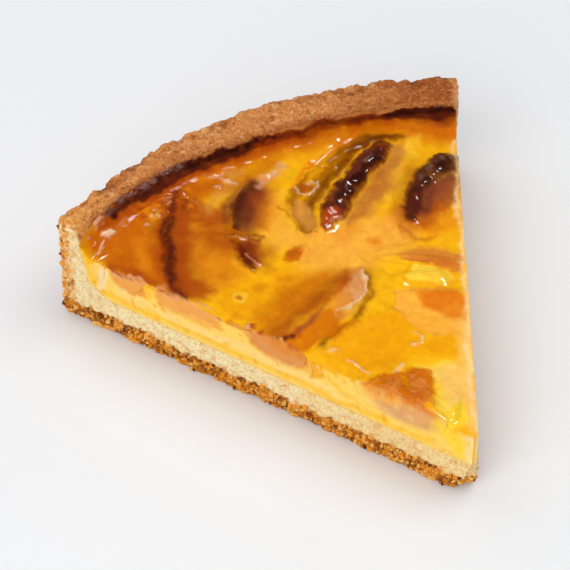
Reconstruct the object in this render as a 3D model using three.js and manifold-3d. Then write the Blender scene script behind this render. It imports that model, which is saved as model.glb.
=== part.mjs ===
// A slice of baked apple tart: a shortcrust shell, set custard and wedges of apple. Millimetres, +Z up.
import * as THREE from "three";
import { mergeVertices } from "three/addons/utils/BufferGeometryUtils.js";
import { ImprovedNoise } from "three/addons/math/ImprovedNoise.js";
import Module from "manifold-3d";

const wasm = await Module();
wasm.setup();

// The whole tart and the cut
const tartRadius = 120;
const sliceAngle = THREE.MathUtils.degToRad(58);
const tipRadius = 1.3; // the point of the slice is worn off to here
const brokenTip = 6; // and under it the floor is broken off to here
const halfAngle = sliceAngle / 2;
const gap = 0.3; // between pieces that lie against each other

// Shortcrust shell
const rimHeight = 29.6;
const rimCrown = 0.7;
const rimTilt = 1.4; // the top falls by this much from the outside in
const tiltCentre = 0.55;
const wallLeft = 5.6; // thickness at the top, left of the slice
const wallRight = 8.3; // and right
const wallChange = [-0.5, 0.1]; // shares of the half angle between which it grows
const wallFoot = 12;
const floorThickness = 11.3;
const floorReach = tartRadius - wallLeft / 2; // the floor runs on into the wall
const footRounding = 1.1;
const crownRough = 0.35;
const flutePitch = 7.4;
const fluteDepth = 0.8;
const fluteWander = 0.6; // flutes drift, as shares of a pitch, over this many
const brownLayer = 5.6; // coarse, dark crumb under the pale one
const brownCrumb = 0.75;
const paleCrumb = 0.3;
const crumbSize = 2.6;
const tipLift = 1.6;
const tipRun = 15;
const tipSlant = 0.6;
const roughFrom = 9; // the crumb is finer than this far from the point

// Custard
const fillLevel = 22.4;
const lipLevel = 28.3; // the custard climbs the wall to here
const lipLeft = 26.8; // but only to here at the left cut
const lipChange = [-1, -0.78];
const lipRun = 3.6;
const shoreLevel = 24.2; // and rises towards its foot
const shoreLeft = 21.6; // but sinks a little at the left cut
const shoreRun = 13;
const fillRipple = 0.4;
const rippleSize = 17;
const tipSlump = 1.6;
const hollow = { from: [33, 102], to: [0, 84], depth: 2.8, reach: 4.6 }; // beside the largest wedge
const lump = { from: [11, 52.5], to: [18.5, 49], depth: -1.9, reach: 3.6 };

// Mesh steps
const floorSteps = [36, 4, 6];
const rimSteps = [60, 3, 6];
const custardSteps = [26, 4, 22];
const wallCrowd = 1.35; // crowds the custard's steps towards the wall
const wedgeSteps = [12, 11];

// Apple wedges: the core edge runs from one plan point to another, bowed to the left of that way.
// wide and curve hold the left flank and the right one; rise and depth go up and down from the custard.
const wedges = {
  apple_back: {
    from: [-1, 73.5], to: [34, 97], bow: 3.8, wide: [5, 10], curve: [0.9, 1.1], rise: 5, depth: 9,
  },
  apple_right: {
    from: [19, 64], to: [52, 82], bow: 9.5, wide: [4, 15], curve: [0.8, 1.1], rise: 4.6, depth: 9,
  },
  apple_middle: {
    from: [8, 104], to: [-19, 70], bow: -10.8, wide: [13, 3.5], curve: [1.4, 0.9], rise: 4.4, depth: 8,
  },
  apple_left: {
    from: [-22, 106], to: [-42, 62], bow: -5, wide: [12.5, 5], curve: [1.6, 1.3], rise: 3.3, depth: 4.6,
  },
  apple_corner: {
    from: [-37, 103], to: [-57, 74], bow: 0, wide: [4.2, 5.2], curve: [1, 1], rise: 0.8, depth: 5,
  },
  apple_centre: {
    from: [7, 60], to: [-36, 45], bow: 1.5, wide: [7.5, 13], curve: [0.45, 1.2], rise: 4.2, depth: 6.8,
  },
  apple_low: {
    from: [4, 50.5], to: [28, 36], bow: 0, wide: [3, 12], curve: [0.8, 0.9], rise: 1.9, depth: 7,
  },
  apple_side: {
    from: [10, 63], to: [34, 42], bow: 0, wide: [4.5, 3.5], curve: [1, 0.7], rise: 2.4, depth: 6,
  },
  apple_tip: {
    from: [-16, 29.5], to: [-4, 7.5], bow: 0.5, wide: [7, 6], curve: [1, 0.8], rise: 2.4, depth: 8,
  },
  apple_chip: {
    from: [-57, 91.8], to: [-49.4, 96], bow: 0, wide: [1.7, 1.7], curve: [1, 1], rise: 0.5, depth: 7.5,
  },
};
const swellShare = 0.2; // of its rise, by which the custard swells round a wedge
const endBlunt = 0.35;
const ridgeFall = 2.6;
const wedgeRipple = 0.35;
const wedgeRippleSize = 6;

const roomReach = tartRadius * 1.5; // past the rim
const roomHeight = rimHeight * 3; // and well over the top
const originSetback = 60.5; // the middle of the slice, from the centre of the whole tart

// Layers of one noise field, far enough apart to be unlike
const rightLayer = 8.2;
const leftLayer = 15.9;
const crownLayer = 0.5;
const fluteLayer = 3.5;
const fillLayer = 0.3;

const grain = new ImprovedNoise();
const mix = THREE.MathUtils.lerp;

function solid(geometry, place) {
  geometry.deleteAttribute("normal");
  geometry.deleteAttribute("uv");
  const shell = mergeVertices(geometry);
  const points = shell.attributes.position;
  const spot = new THREE.Vector3();
  for (let i = 0; i < points.count; i++) {
    place(spot.fromBufferAttribute(points, i));
    points.setXYZ(i, spot.x, spot.y, spot.z);
  }
  const faces = new Uint32Array(shell.index.array);
  return new wasm.Manifold(new wasm.Mesh({ numProp: 3, vertProperties: points.array, triVerts: faces }));
}

function unitBlock(steps) {
  return new THREE.BoxGeometry(1, 1, 1, ...steps).translate(0.5, 0.5, 0.5);
}

function onTart(spot, radius, angle, height) {
  return spot.set(radius * Math.sin(angle), radius * Math.cos(angle), height);
}

// Crumb left proud or torn out by the knife, square to a cut face
function crumb(reach, height, layer) {
  const rough = height < brownLayer ? brownCrumb : paleCrumb;
  return rough * grain.noise(reach / crumbSize, height / crumbSize, layer);
}

// Moves a point sideways by the roughness of both cut faces, shared out across the slice
function roughen(spot, reach, across, amount) {
  const share = amount * Math.min(1, reach / roughFrom);
  const right = share * across * crumb(reach, spot.z, rightLayer);
  const left = share * (1 - across) * crumb(reach, spot.z, leftLayer);
  spot.x += (right - left) * Math.cos(halfAngle);
  spot.y -= (right + left) * Math.sin(halfAngle);
}

function wallInside(height, angle) {
  const right = THREE.MathUtils.smoothstep(angle / halfAngle, ...wallChange);
  return tartRadius - mix(wallFoot, mix(wallLeft, wallRight, right), height / rimHeight);
}

function floorSlab() {
  return solid(unitBlock(floorSteps), (spot) => {
    const { x: along, y: up, z: across } = spot;
    const radius = mix(mix(brokenTip, tipRadius, up ** tipSlant), floorReach, along);
    const nearTip = Math.max(0, 1 - radius / tipRun);
    const underside = tipLift * nearTip ** 2;
    onTart(spot, radius, mix(-halfAngle, halfAngle, across), mix(underside, floorThickness, up));
    const underRim = radius > tartRadius - wallFoot - gap ? 0 : 1;
    roughen(spot, radius, across, underRim);
  });
}

function rimRing() {
  const flutes = Math.round((tartRadius * sliceAngle) / flutePitch);
  return solid(unitBlock(rimSteps), (spot) => {
    const { x: across, y: outward, z: up } = spot;
    const angle = mix(-halfAngle, halfAngle, across);
    const crown = rimCrown * (1 - (2 * outward - 1) ** 2);
    const rough = crownRough * grain.noise(across * flutes, outward, crownLayer);
    const height = up * (rimHeight + crown + rough + rimTilt * (outward - tiltCentre));
    const drift = grain.noise(across * flutes * fluteWander, fluteLayer, crownLayer);
    const wave = Math.abs(Math.sin(Math.PI * flutes * across + drift));
    const foot = footRounding * Math.max(0, 1 - (2 * height) / brownLayer) ** 2;
    const outside = tartRadius - fluteDepth * (1 - wave) - foot;
    const radius = mix(wallInside(height, angle), outside, outward);
    onTart(spot, radius, angle, height);
    roughen(spot, radius, across, 1);
  });
}

function lineDistance(x, y, [fromX, fromY], [toX, toY]) {
  const wayX = toX - fromX;
  const wayY = toY - fromY;
  const share = ((x - fromX) * wayX + (y - fromY) * wayY) / (wayX ** 2 + wayY ** 2);
  const near = THREE.MathUtils.clamp(share, 0, 1);
  return Math.hypot(x - fromX - near * wayX, y - fromY - near * wayY);
}

function bell(distance, reach) {
  return Math.exp(-((distance / reach) ** 2));
}

function fromLeft(atLeft, elsewhere, angle) {
  return mix(atLeft, elsewhere, THREE.MathUtils.smoothstep(angle / halfAngle, ...lipChange));
}

function lipHeight(angle) {
  return fromLeft(lipLeft, lipLevel, angle);
}

function fillHeight(radius, angle) {
  const x = radius * Math.sin(angle);
  const y = radius * Math.cos(angle);
  const lip = lipHeight(angle);
  const inside = wallInside(lip, angle);
  const shore = THREE.MathUtils.smoothstep(radius, inside - shoreRun, inside);
  const climb = THREE.MathUtils.clamp((radius - inside) / lipRun + 1, 0, 1) ** 2;
  let height = mix(fillLevel, fromLeft(shoreLeft, shoreLevel, angle), shore);
  height -= tipSlump * bell(radius, tipRun);
  height = mix(height, lip, climb);
  height += fillRipple * (1 - climb) * grain.noise(x / rippleSize, y / rippleSize, fillLayer);
  for (const dip of [hollow, lump]) {
    height -= dip.depth * (1 - climb) * bell(lineDistance(x, y, dip.from, dip.to), dip.reach);
  }
  for (const wedge of Object.values(wedges)) {
    const distance = lineDistance(x, y, wedge.from, wedge.to);
    height += swellShare * wedge.rise * (1 - climb) * bell(distance, wedge.wide[0] + wedge.wide[1]);
  }
  return height;
}

function custardBody() {
  const floor = floorThickness + gap;
  return solid(unitBlock(custardSteps), (spot) => {
    const { y: up, z: across } = spot;
    const along = 1 - (1 - spot.x) ** wallCrowd;
    const angle = mix(-halfAngle, halfAngle, across);
    const top = fillHeight(mix(tipRadius, wallInside(lipHeight(angle), angle), along), angle);
    const height = mix(floor, top, up);
    const radius = mix(tipRadius, wallInside(height, angle) - gap, along);
    onTart(spot, radius, angle, height);
    roughen(spot, radius, across, 1);
  });
}

// One wedge: two flanks up to the core edge, a round skin side down in the custard
function wedgeBody(wedge, extra) {
  const start = new THREE.Vector3(...wedge.from, fillLevel);
  const end = new THREE.Vector3(...wedge.to, fillLevel);
  const way = end.clone().sub(start).normalize();
  const rightward = new THREE.Vector3(way.y, -way.x, 0);
  const middle = start.clone().add(end).multiplyScalar(0.5);
  const halfLength = start.distanceTo(end) / 2 + extra;
  return solid(new THREE.SphereGeometry(1, ...wedgeSteps), (spot) => {
    const along = spot.y;
    const turn = Math.atan2(spot.z, spot.x);
    const girth = Math.max(0, 1 - along ** 2) ** endBlunt;
    const flank = spot.x > 0 ? 1 : 0;
    const aside = Math.cos(turn) * girth * (wedge.wide[flank] + extra);
    const ridge = (wedge.rise + extra) * (1 - Math.abs(along) ** ridgeFall);
    const above = ridge * (1 - Math.abs(Math.cos(turn))) ** wedge.curve[flank];
    const below = -(wedge.depth + extra) * girth * Math.abs(Math.sin(turn));
    const height = spot.z > 0 ? above : below;
    const bow = wedge.bow * (1 - along ** 2);
    const ripple = wedgeRipple * girth * grain.noise((along * halfLength) / wedgeRippleSize, turn, middle.x);
    spot.copy(middle).addScaledVector(way, along * halfLength);
    spot.addScaledVector(rightward, aside - bow + ripple);
    spot.z += height;
  });
}

// The room between the two cuts
function knifeRoom() {
  const halfWidth = roomReach * Math.sin(halfAngle);
  const depth = roomReach * Math.cos(halfAngle);
  const outline = new THREE.Shape();
  outline.moveTo(0, 0);
  outline.lineTo(halfWidth, depth);
  outline.lineTo(-halfWidth, depth);
  const block = new THREE.ExtrudeGeometry(outline, { depth: roomHeight, bevelEnabled: false });
  return solid(block, (spot) => spot);
}

function largestBody(body) {
  const bodies = body.decompose();
  return bodies.reduce((best, next) => (next.volume() > best.volume() ? next : best));
}

const shades = {
  crust: new THREE.MeshStandardMaterial({ color: 0xc98a4c, roughness: 0.9, metalness: 0 }),
  custard: new THREE.MeshStandardMaterial({ color: 0xf2b32e, roughness: 0.35, metalness: 0 }),
  apple: new THREE.MeshStandardMaterial({ color: 0xd9964a, roughness: 0.4, metalness: 0 }),
};

function node(name, body, shade) {
  const faces = body.getMesh();
  const geometry = new THREE.BufferGeometry();
  geometry.setAttribute("position", new THREE.BufferAttribute(faces.vertProperties, 3));
  geometry.setIndex(new THREE.BufferAttribute(faces.triVerts, 1));
  geometry.translate(0, -originSetback, 0);
  geometry.computeVertexNormals();
  const mesh = new THREE.Mesh(geometry, shade.clone());
  mesh.name = name;
  return mesh;
}

function slice() {
  const group = new THREE.Group();
  const room = knifeRoom();
  let custard = custardBody();
  for (const [name, wedge] of Object.entries(wedges)) {
    custard = custard.subtract(wedgeBody(wedge, gap));
    group.add(node(name, largestBody(wedgeBody(wedge, 0).intersect(room)), shades.apple));
  }
  group.add(node("custard", largestBody(custard), shades.custard));
  group.add(node("crust", floorSlab().add(rimRing()), shades.crust));
  return group;
}

export default slice();
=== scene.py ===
import bpy, bmesh, math
import numpy as np
from itertools import product
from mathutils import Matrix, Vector


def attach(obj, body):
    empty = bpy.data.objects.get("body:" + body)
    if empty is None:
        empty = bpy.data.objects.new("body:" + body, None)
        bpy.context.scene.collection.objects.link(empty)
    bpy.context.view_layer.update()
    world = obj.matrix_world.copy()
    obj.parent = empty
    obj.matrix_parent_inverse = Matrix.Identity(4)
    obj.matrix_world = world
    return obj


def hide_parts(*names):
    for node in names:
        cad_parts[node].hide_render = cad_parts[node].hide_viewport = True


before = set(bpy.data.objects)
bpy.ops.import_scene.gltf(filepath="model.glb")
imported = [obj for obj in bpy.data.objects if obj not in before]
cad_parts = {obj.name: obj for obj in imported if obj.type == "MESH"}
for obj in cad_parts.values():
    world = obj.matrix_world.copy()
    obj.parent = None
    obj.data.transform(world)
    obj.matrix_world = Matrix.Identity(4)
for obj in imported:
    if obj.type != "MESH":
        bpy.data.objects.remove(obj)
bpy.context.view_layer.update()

# sizes in millimetres from the centre of the whole tart, as in the solids
cut = {
    "radius": 120.0, "halfAngle": math.radians(29.0), "setback": 60.5,
    "tip": 1.3, "brokenTip": 6.0, "tipSlant": 0.6, "tipLift": 1.6, "tipRun": 15.0,
}
shell = {
    "rimHeight": 29.6, "crown": 0.7, "tilt": 1.4, "tiltCentre": 0.45, "wallLeft": 5.6, "wallRight": 8.3,
    "wallFoot": 12.0, "floor": 11.3, "fillet": 4.5, "flutes": 16, "fluteDepth": 0.8, "fluteDrift": 1.9,
    "footRounding": 1.1, "footHeight": 2.8, "brownLayer": 4.9, "sharpFrom": math.radians(75),
    "floorSteps": 250, "wallSteps": 44, "throughSteps": 26, "arcSteps": 260, "tipSteps": 10,
}
fill = {
    "level": 22.4, "lip": 28.3, "lipLeft": 26.8, "lipRun": 3.6, "shore": 24.2, "shoreLeft": 21.6,
    "shoreRun": 13.0, "ripple": 0.4, "rippleSize": 17.0, "tipSlump": 1.6, "bare": 0.45, "film": 0.45,
    "filmBlend": 1.2, "filmRagged": 0.14, "lumpyFrom": 12.0, "lumpyTo": 6.0, "lumps": 0.4,
    "smallLumps": 0.12, "slant": (0.494, 0.892), "markLevel": 22.0, "sharpFrom": math.radians(60),
    "reachSteps": 258, "climbSteps": 54, "climbFrom": 0.95, "arcSteps": 225, "depthSteps": 24,
}
wedges = {
    "apple_back": {"from": (-1, 73.5), "to": (34, 97), "bow": 3.8, "left": 5, "right": 10,
                   "rise": 5, "depth": 9, "section": "apple", "curve": (0.9, 1.1)},
    "apple_right": {"from": (19, 64), "to": (52, 82), "bow": 9.5, "left": 4, "right": 15,
                    "rise": 4.6, "depth": 9, "section": "apple", "curve": (0.8, 1.1)},
    "apple_middle": {"from": (8, 104), "to": (-19, 70), "bow": -10.8, "left": 13, "right": 3.5,
                     "rise": 4.4, "depth": 8, "section": "apple", "curve": (1.4, 0.9)},
    "apple_left": {"from": (-22, 106), "to": (-42, 62), "bow": -5, "left": 12.5, "right": 5,
                   "rise": 3.3, "depth": 4.6, "section": "pale", "curve": (1.6, 1.3)},
    "apple_corner": {"from": (-37, 103), "to": (-57, 74), "bow": 0, "left": 4.2, "right": 5.2,
                     "rise": 0.8, "depth": 5, "section": "apple", "curve": (1, 1)},
    "apple_centre": {"from": (7, 60), "to": (-36, 45), "bow": 1.5, "left": 7.5, "right": 13,
                     "rise": 4.2, "depth": 6.8, "section": "slab", "curve": (0.45, 1.2)},
    "apple_low": {"from": (4, 50.5), "to": (28, 36), "bow": 0, "left": 3, "right": 12,
                  "rise": 1.9, "depth": 7, "section": "apple", "curve": (0.8, 0.9)},
    "apple_side": {"from": (10, 63), "to": (34, 42), "bow": 0, "left": 4.5, "right": 3.5,
                   "rise": 2.4, "depth": 6, "section": "apple", "curve": (1, 0.7)},
    "apple_tip": {"from": (-16, 29.5), "to": (-4, 7.5), "bow": 0.5, "left": 7, "right": 6,
                  "rise": 2.4, "depth": 8, "section": "beige", "curve": (1, 0.8)},
    "apple_chip": {"from": (-57, 91.8), "to": (-49.4, 96), "bow": 0, "left": 1.7, "right": 1.7,
                   "rise": 0.5, "depth": 7.5, "section": "pale", "curve": (1, 1)},
}
wedgeMesh = {
    "along": 130, "around": 110, "blunt": 0.35, "fall": 2.6, "cuts": 5, "sharpFrom": math.radians(50),
    "gentlest": 1.3, "drop": 2.0, "deepest": 6.0, "easedEnds": 0.2, "uneven": 1.2, "farOff": -9.0,
}


def srgb(red, green, blue):  # a screen colour as the linear one that shaders take
    share = np.array([red, green, blue]) / 255.0
    return np.where(share <= 0.04045, share / 12.92, ((share + 0.055) / 1.055) ** 2.4)


def mix(low, high, share):
    return low + (high - low) * share


def tint(colour, toward, share):  # each point's colour moved towards another
    return mix(colour, toward, share[:, None])


def step(value, low, high):
    share = np.clip((value - low) / (high - low), 0.0, 1.0)
    return share * share * (3.0 - 2.0 * share)


def bell(distance, reach):
    return np.exp(-((distance / reach) ** 2))


def cellHash(cells, seed):
    code = cells[..., 0] * 73856093 ^ cells[..., 1] * 19349663 ^ cells[..., 2] * 83492791
    code = code ^ (seed * 26544357 + 911)
    code = (code ^ (code >> 13)) * 1274126177 & 0xFFFFFFFF
    code = (code ^ (code >> 15)) * 2246822519 & 0xFFFFFFFF
    return ((code ^ (code >> 16)) & 0xFFFF) / 65535.0


def grain(points, size, seed=0):  # smooth noise from -1 to 1 with lumps of a given size
    place = points / size
    cells = np.floor(place).astype(np.int64)
    inside = place - cells
    ease = inside ** 3 * (inside * (inside * 6 - 15) + 10)
    total = np.zeros(len(points))
    for corner in product((0, 1), repeat=3):
        weight = np.prod(np.where(corner, ease, 1 - ease), axis=1)
        total += weight * cellHash(cells + np.array(corner), seed)
    return total * 2 - 1


def layers(points, size, seed=0, count=3):  # coarse to fine noise
    total, weight = 0.0, 1.0
    for turn in range(count):
        total = total + weight * grain(points, size / 2 ** turn, seed + turn)
        weight *= 0.5
    return total / 1.75


def lumps(points, size, seed=0):  # distance to the nearest of scattered crumbs, and that crumb's own number
    place = points / size
    cells = np.floor(place).astype(np.int64)
    best = np.full(len(points), 9.0)
    tone = np.zeros(len(points))
    for shift in product((-1, 0, 1), repeat=3):
        near = cells + np.array(shift)
        centre = near + np.stack([cellHash(near, seed + axis) for axis in (1, 2, 3)], axis=1)
        gap = np.linalg.norm(place - centre, axis=1)
        closer = gap < best
        best = np.where(closer, gap, best)
        tone = np.where(closer, cellHash(near, seed + 4), tone)
    return best, tone


def flat(x, y, z=0.0):
    return np.stack([x, y, np.zeros_like(x) + z], axis=-1)


def spread(rows, columns):
    return np.meshgrid(rows, columns, indexing="ij")


def onTart(radius, angle, height):
    radius, angle, height = np.broadcast_arrays(radius, angle, height)
    return np.stack([radius * np.sin(angle), radius * np.cos(angle), height], axis=-1)


def wallInside(height, angle):  # the wall grows a little thicker towards the right
    wallTop = mix(shell["wallLeft"], shell["wallRight"], step(angle / cut["halfAngle"], -0.5, 0.1))
    straight = cut["radius"] - mix(shell["wallFoot"], wallTop, height / shell["rimHeight"])
    foot = np.clip(1 - (height - shell["floor"]) / shell["fillet"], 0, 1)
    return straight - shell["fillet"] * foot ** 2


def cutDepth(points):  # how far a point lies in from the nearer cut, and which cut that is
    sine, cosine = math.sin(cut["halfAngle"]), math.cos(cut["halfAngle"])
    right = points[:, 1] * sine - points[:, 0] * cosine
    left = points[:, 1] * sine + points[:, 0] * cosine
    return np.minimum(left, right), left < right


def lineDistance(x, y, start, end):
    wayX, wayY = end[0] - start[0], end[1] - start[1]
    share = np.clip(((x - start[0]) * wayX + (y - start[1]) * wayY) / max(wayX ** 2 + wayY ** 2, 1e-9), 0, 1)
    return np.hypot(x - start[0] - share * wayX, y - start[1] - share * wayY), share


class Sheets:  # grids of points gathered into one mesh
    def __init__(self):
        self.points, self.faces, self.count = [], [], 0

    def grid(self, points):
        rows, columns = points.shape[:2]
        ids = np.arange(rows * columns).reshape(rows, columns) + self.count
        quads = np.stack([ids[:-1, :-1], ids[1:, :-1], ids[1:, 1:], ids[:-1, 1:]], axis=-1).reshape(-1, 4)
        self.faces += quads.tolist()
        self.points.append(points.reshape(-1, 3))
        self.count += rows * columns

    def loop(self, points):
        self.faces.append(list(range(self.count, self.count + len(points))))
        self.points.append(points)
        self.count += len(points)

    def mesh(self, name, weld=0.004):
        work = bmesh.new()
        made = bpy.data.meshes.new(name)
        made.from_pydata(np.concatenate(self.points).tolist(), [], self.faces)
        work.from_mesh(made)
        bmesh.ops.remove_doubles(work, verts=work.verts, dist=weld)
        bmesh.ops.recalc_face_normals(work, faces=work.faces)
        work.to_mesh(made)
        work.free()
        return made


def pointsOf(mesh):
    points = np.empty(len(mesh.vertices) * 3)
    mesh.vertices.foreach_get("co", points)
    return points.reshape(-1, 3)


def normalsOf(mesh):
    normals = np.empty(len(mesh.vertices) * 3)
    mesh.vertices.foreach_get("normal", normals)
    return normals.reshape(-1, 3)


def movePoints(mesh, points):
    mesh.vertices.foreach_set("co", points.ravel())
    mesh.update()


def keepColour(mesh, name, colour):
    layer = mesh.attributes.new(name, "FLOAT_COLOR", "POINT")
    layer.data.foreach_set("color", np.concatenate([colour, np.ones((len(colour), 1))], axis=1).ravel())


def keepValue(mesh, name, value):
    layer = mesh.attributes.new(name, "FLOAT", "POINT")
    layer.data.foreach_set("value", np.ascontiguousarray(value, dtype=float))


def toFrame(points):  # tart millimetres to the part's own metres
    return (points - np.array([0, cut["setback"], 0])) / 1000.0


def place(name, mesh, material):
    movePoints(mesh, toFrame(pointsOf(mesh)))
    mesh.shade_smooth()
    piece = bpy.data.objects.new(name, mesh)
    bpy.context.scene.collection.objects.link(piece)
    mesh.materials.clear()
    mesh.materials.append(material)
    return piece


class Wire:  # a shader value that can stand in a sum
    def __init__(self, finish, socket):
        self.finish, self.socket = finish, socket

    def maths(self, operation, first, second):
        return self.finish.add("ShaderNodeMath", {"operation": operation}, {0: first, 1: second})

    def __add__(self, other): return self.maths("ADD", self, other)
    def __radd__(self, other): return self.maths("ADD", other, self)
    def __sub__(self, other): return self.maths("SUBTRACT", self, other)
    def __rsub__(self, other): return self.maths("SUBTRACT", other, self)
    def __mul__(self, other): return self.maths("MULTIPLY", self, other)
    def __rmul__(self, other): return self.maths("MULTIPLY", other, self)


class Finish:  # one material and the nodes in it
    def __init__(self, name):
        self.material = bpy.data.materials.new(name)
        self.material.use_nodes = True
        self.tree = self.material.node_tree
        self.shader = self.tree.nodes["Principled BSDF"]

    def plug(self, socket, value):
        if isinstance(value, Wire):
            self.tree.links.new(value.socket, socket)
        elif hasattr(socket.default_value, "__len__") and len(socket.default_value) == 4:
            socket.default_value = tuple(value)[:3] + (1.0,)
        else:
            socket.default_value = value

    def add(self, kind, settings, inputs, output=0):
        node = self.tree.nodes.new(kind)
        for name, value in settings.items():
            setattr(node, name, value)
        for name, value in inputs.items():
            self.plug(node.inputs[name], value)
        return Wire(self, node.outputs[output])

    def spot(self):
        return self.add("ShaderNodeTexCoord", {}, {}, "Object")

    def value(self, name):
        return self.add("ShaderNodeAttribute", {"attribute_name": name}, {}, "Fac")

    def colour(self, name):
        return self.add("ShaderNodeAttribute", {"attribute_name": name}, {}, "Color")

    def noise(self, size, detail=3.0, roughness=0.55):  # lumps of a size in millimetres
        inputs = {"Vector": self.spot(), "Scale": 1000.0 / size, "Detail": detail, "Roughness": roughness}
        return self.add("ShaderNodeTexNoise", {}, inputs, "Fac")

    def band(self, value, low, high, start=0.0, end=1.0):
        inputs = {0: value, 1: low, 2: high, 3: start, 4: end}
        return self.add("ShaderNodeMapRange", {"interpolation_type": "SMOOTHSTEP"}, inputs)

    def blend(self, share, first, second, how="MIX"):
        settings = {"data_type": "RGBA", "blend_type": how}
        return self.add("ShaderNodeMix", settings, {0: share, 6: first, 7: second}, 2)

    def relief(self, height, depth, below=None):  # depth in millimetres
        inputs = {"Height": height, "Strength": 1.0, "Distance": depth / 1000.0}
        if below:
            inputs["Normal"] = below
        return self.add("ShaderNodeBump", {}, inputs)

    def surface(self, inputs):
        for name, value in inputs.items():
            self.plug(self.shader.inputs[name], value)
        return self.material


def wedgeFrame(wedge):
    start, end = np.array(wedge["from"], float), np.array(wedge["to"], float)
    length = np.linalg.norm(end - start)
    way = (end - start) / length
    return (start + end) / 2, way, np.array([way[1], -way[0]]), length / 2


def wedgeSpot(wedge, x, y):  # a plan point in a wedge's own terms
    middle, way, rightward, halfLength = wedgeFrame(wedge)
    offX, offY = x - middle[0], y - middle[1]
    along = (offX * way[0] + offY * way[1]) / halfLength
    inside = np.clip(1 - along ** 2, 1e-4, 1)
    aside = offX * rightward[0] + offY * rightward[1] + wedge["bow"] * inside
    toRight = aside > 0
    girth = inside ** wedgeMesh["blunt"]
    sideways = np.abs(aside) / (np.where(toRight, wedge["right"], wedge["left"]) * girth)
    ridge = wedge["rise"] * (1 - np.abs(np.clip(along, -1, 1)) ** wedgeMesh["fall"])
    curve = np.where(toRight, wedge["curve"][1], wedge["curve"][0])
    beyond = np.maximum(0, np.abs(along) - 1) * halfLength
    return sideways, ridge, curve, girth, beyond


def wedgeTop(wedge, x, y):  # height of a wedge's flanks over any plan point, and how far down them it lies
    sideways, ridge, curve, girth, beyond = wedgeSpot(wedge, x, y)
    sideways = sideways * girth / np.sqrt(girth ** 2 + wedgeMesh["easedEnds"])
    slope = 1 - sideways
    risen = ridge * np.abs(slope) ** np.maximum(curve, wedgeMesh["gentlest"])
    flank = np.maximum(np.where(slope > 0, risen, -wedgeMesh["drop"] * slope ** 2), -wedgeMesh["deepest"])
    return fill["level"] + flank - beyond ** 2, sideways


def reliefShare(relief, x, y):
    spots = flat(x, y)
    away = markDistance(relief, spots) + relief.get("ragged", 0.0) * grain(spots, 4.0, 33)
    return 1 - step(away, relief["reach"] - relief["soft"] / 2, relief["reach"] + relief["soft"] / 2)


def markDistance(mark, spots):  # distance from a line, or from the edge of a patch and below zero inside it
    x, y = spots[:, 0], spots[:, 1]
    line = mark["line"] + mark["line"][:1] * mark["closed"]
    away = np.full(len(spots), 1e3)
    inside = np.zeros(len(spots), bool)
    for start, end in zip(line, line) if mark["dots"] else zip(line[:-1], line[1:]):
        away = np.minimum(away, lineDistance(x, y, start, end)[0])
        if mark["closed"] and start[1] != end[1]:
            crossing = start[0] + (y - start[1]) * (end[0] - start[0]) / (end[1] - start[1])
            inside ^= ((start[1] > y) != (end[1] > y)) & (x < crossing)
    return np.where(inside, -away, away)


def stroke(look, share, reach, soft, line, **more):
    shape = {"reach": reach, "soft": soft, "line": line, "closed": False, "dots": False}
    return {"look": look, "share": share, **shape, **more}


def dots(look, share, reach, soft, line, **more):
    return {**stroke(look, share, reach, soft, line), "dots": True, **more}


def patch(look, share, soft, line, **more):
    return {**stroke(look, share, 0.0, soft, line), "closed": True, **more}


# hollows and lumps of the baked surface, as plan lines in millimetres; the share is the lift
reliefs = [
    patch("basin", -2.6, 5.0, [(37, 98), (34, 104), (28, 105), (18, 102), (8, 98), (1, 94), (-2.5, 88),
          (-2, 80), (1, 75), (31, 94)], ragged=0.5),
    stroke("groove", -0.9, 0.8, 3.0, [(33, 101.5), (22, 97), (14, 92), (8, 87), (4, 82)]),
    stroke("basinEdge", 0.45, 0.3, 1.4, [(31, 105.5), (20, 103.4), (10, 100), (3, 96.5), (-2.5, 91),
           (-3, 84)]),
    stroke("lump", 1.9, 2.6, 4.0, [(11, 52.5), (18.5, 49)], ragged=0.6),
    stroke("blister", 0.7, 2.0, 1.6, [(-9, 74), (-6, 74.2)]),
    stroke("blisterDent", -0.6, 0.9, 1.4, [(-8.4, 74), (-7.4, 74)]),
    stroke("ringSpot", 0.5, 1.7, 1.0, [(-26.7, 67.3), (-26.5, 67.3)]),
    stroke("ringDent", -0.9, 0.7, 1.0, [(-26.7, 67.3), (-26.5, 67.3)]),
    stroke("lowShelf", 0.7, 1.5, 3.0, [(-16, 40), (-6, 45), (3, 44)]),
    stroke("dimple", -0.5, 1.8, 2.5, [(-15, 67.5), (-14, 67.5)]),
    stroke("dimple", -0.5, 1.6, 2.5, [(-21, 68), (-20.5, 68)]),
    stroke("dimple", 0.4, 1.4, 2.0, [(11, 68), (12, 68)]),
]


def fromLeft(atLeft, elsewhere, angle):  # the filling stands lower at the left cut
    return mix(atLeft, elsewhere, step(angle / cut["halfAngle"], -1.0, -0.78))


def lipHeight(angle):
    return fromLeft(fill["lipLeft"], fill["lip"], angle)


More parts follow.
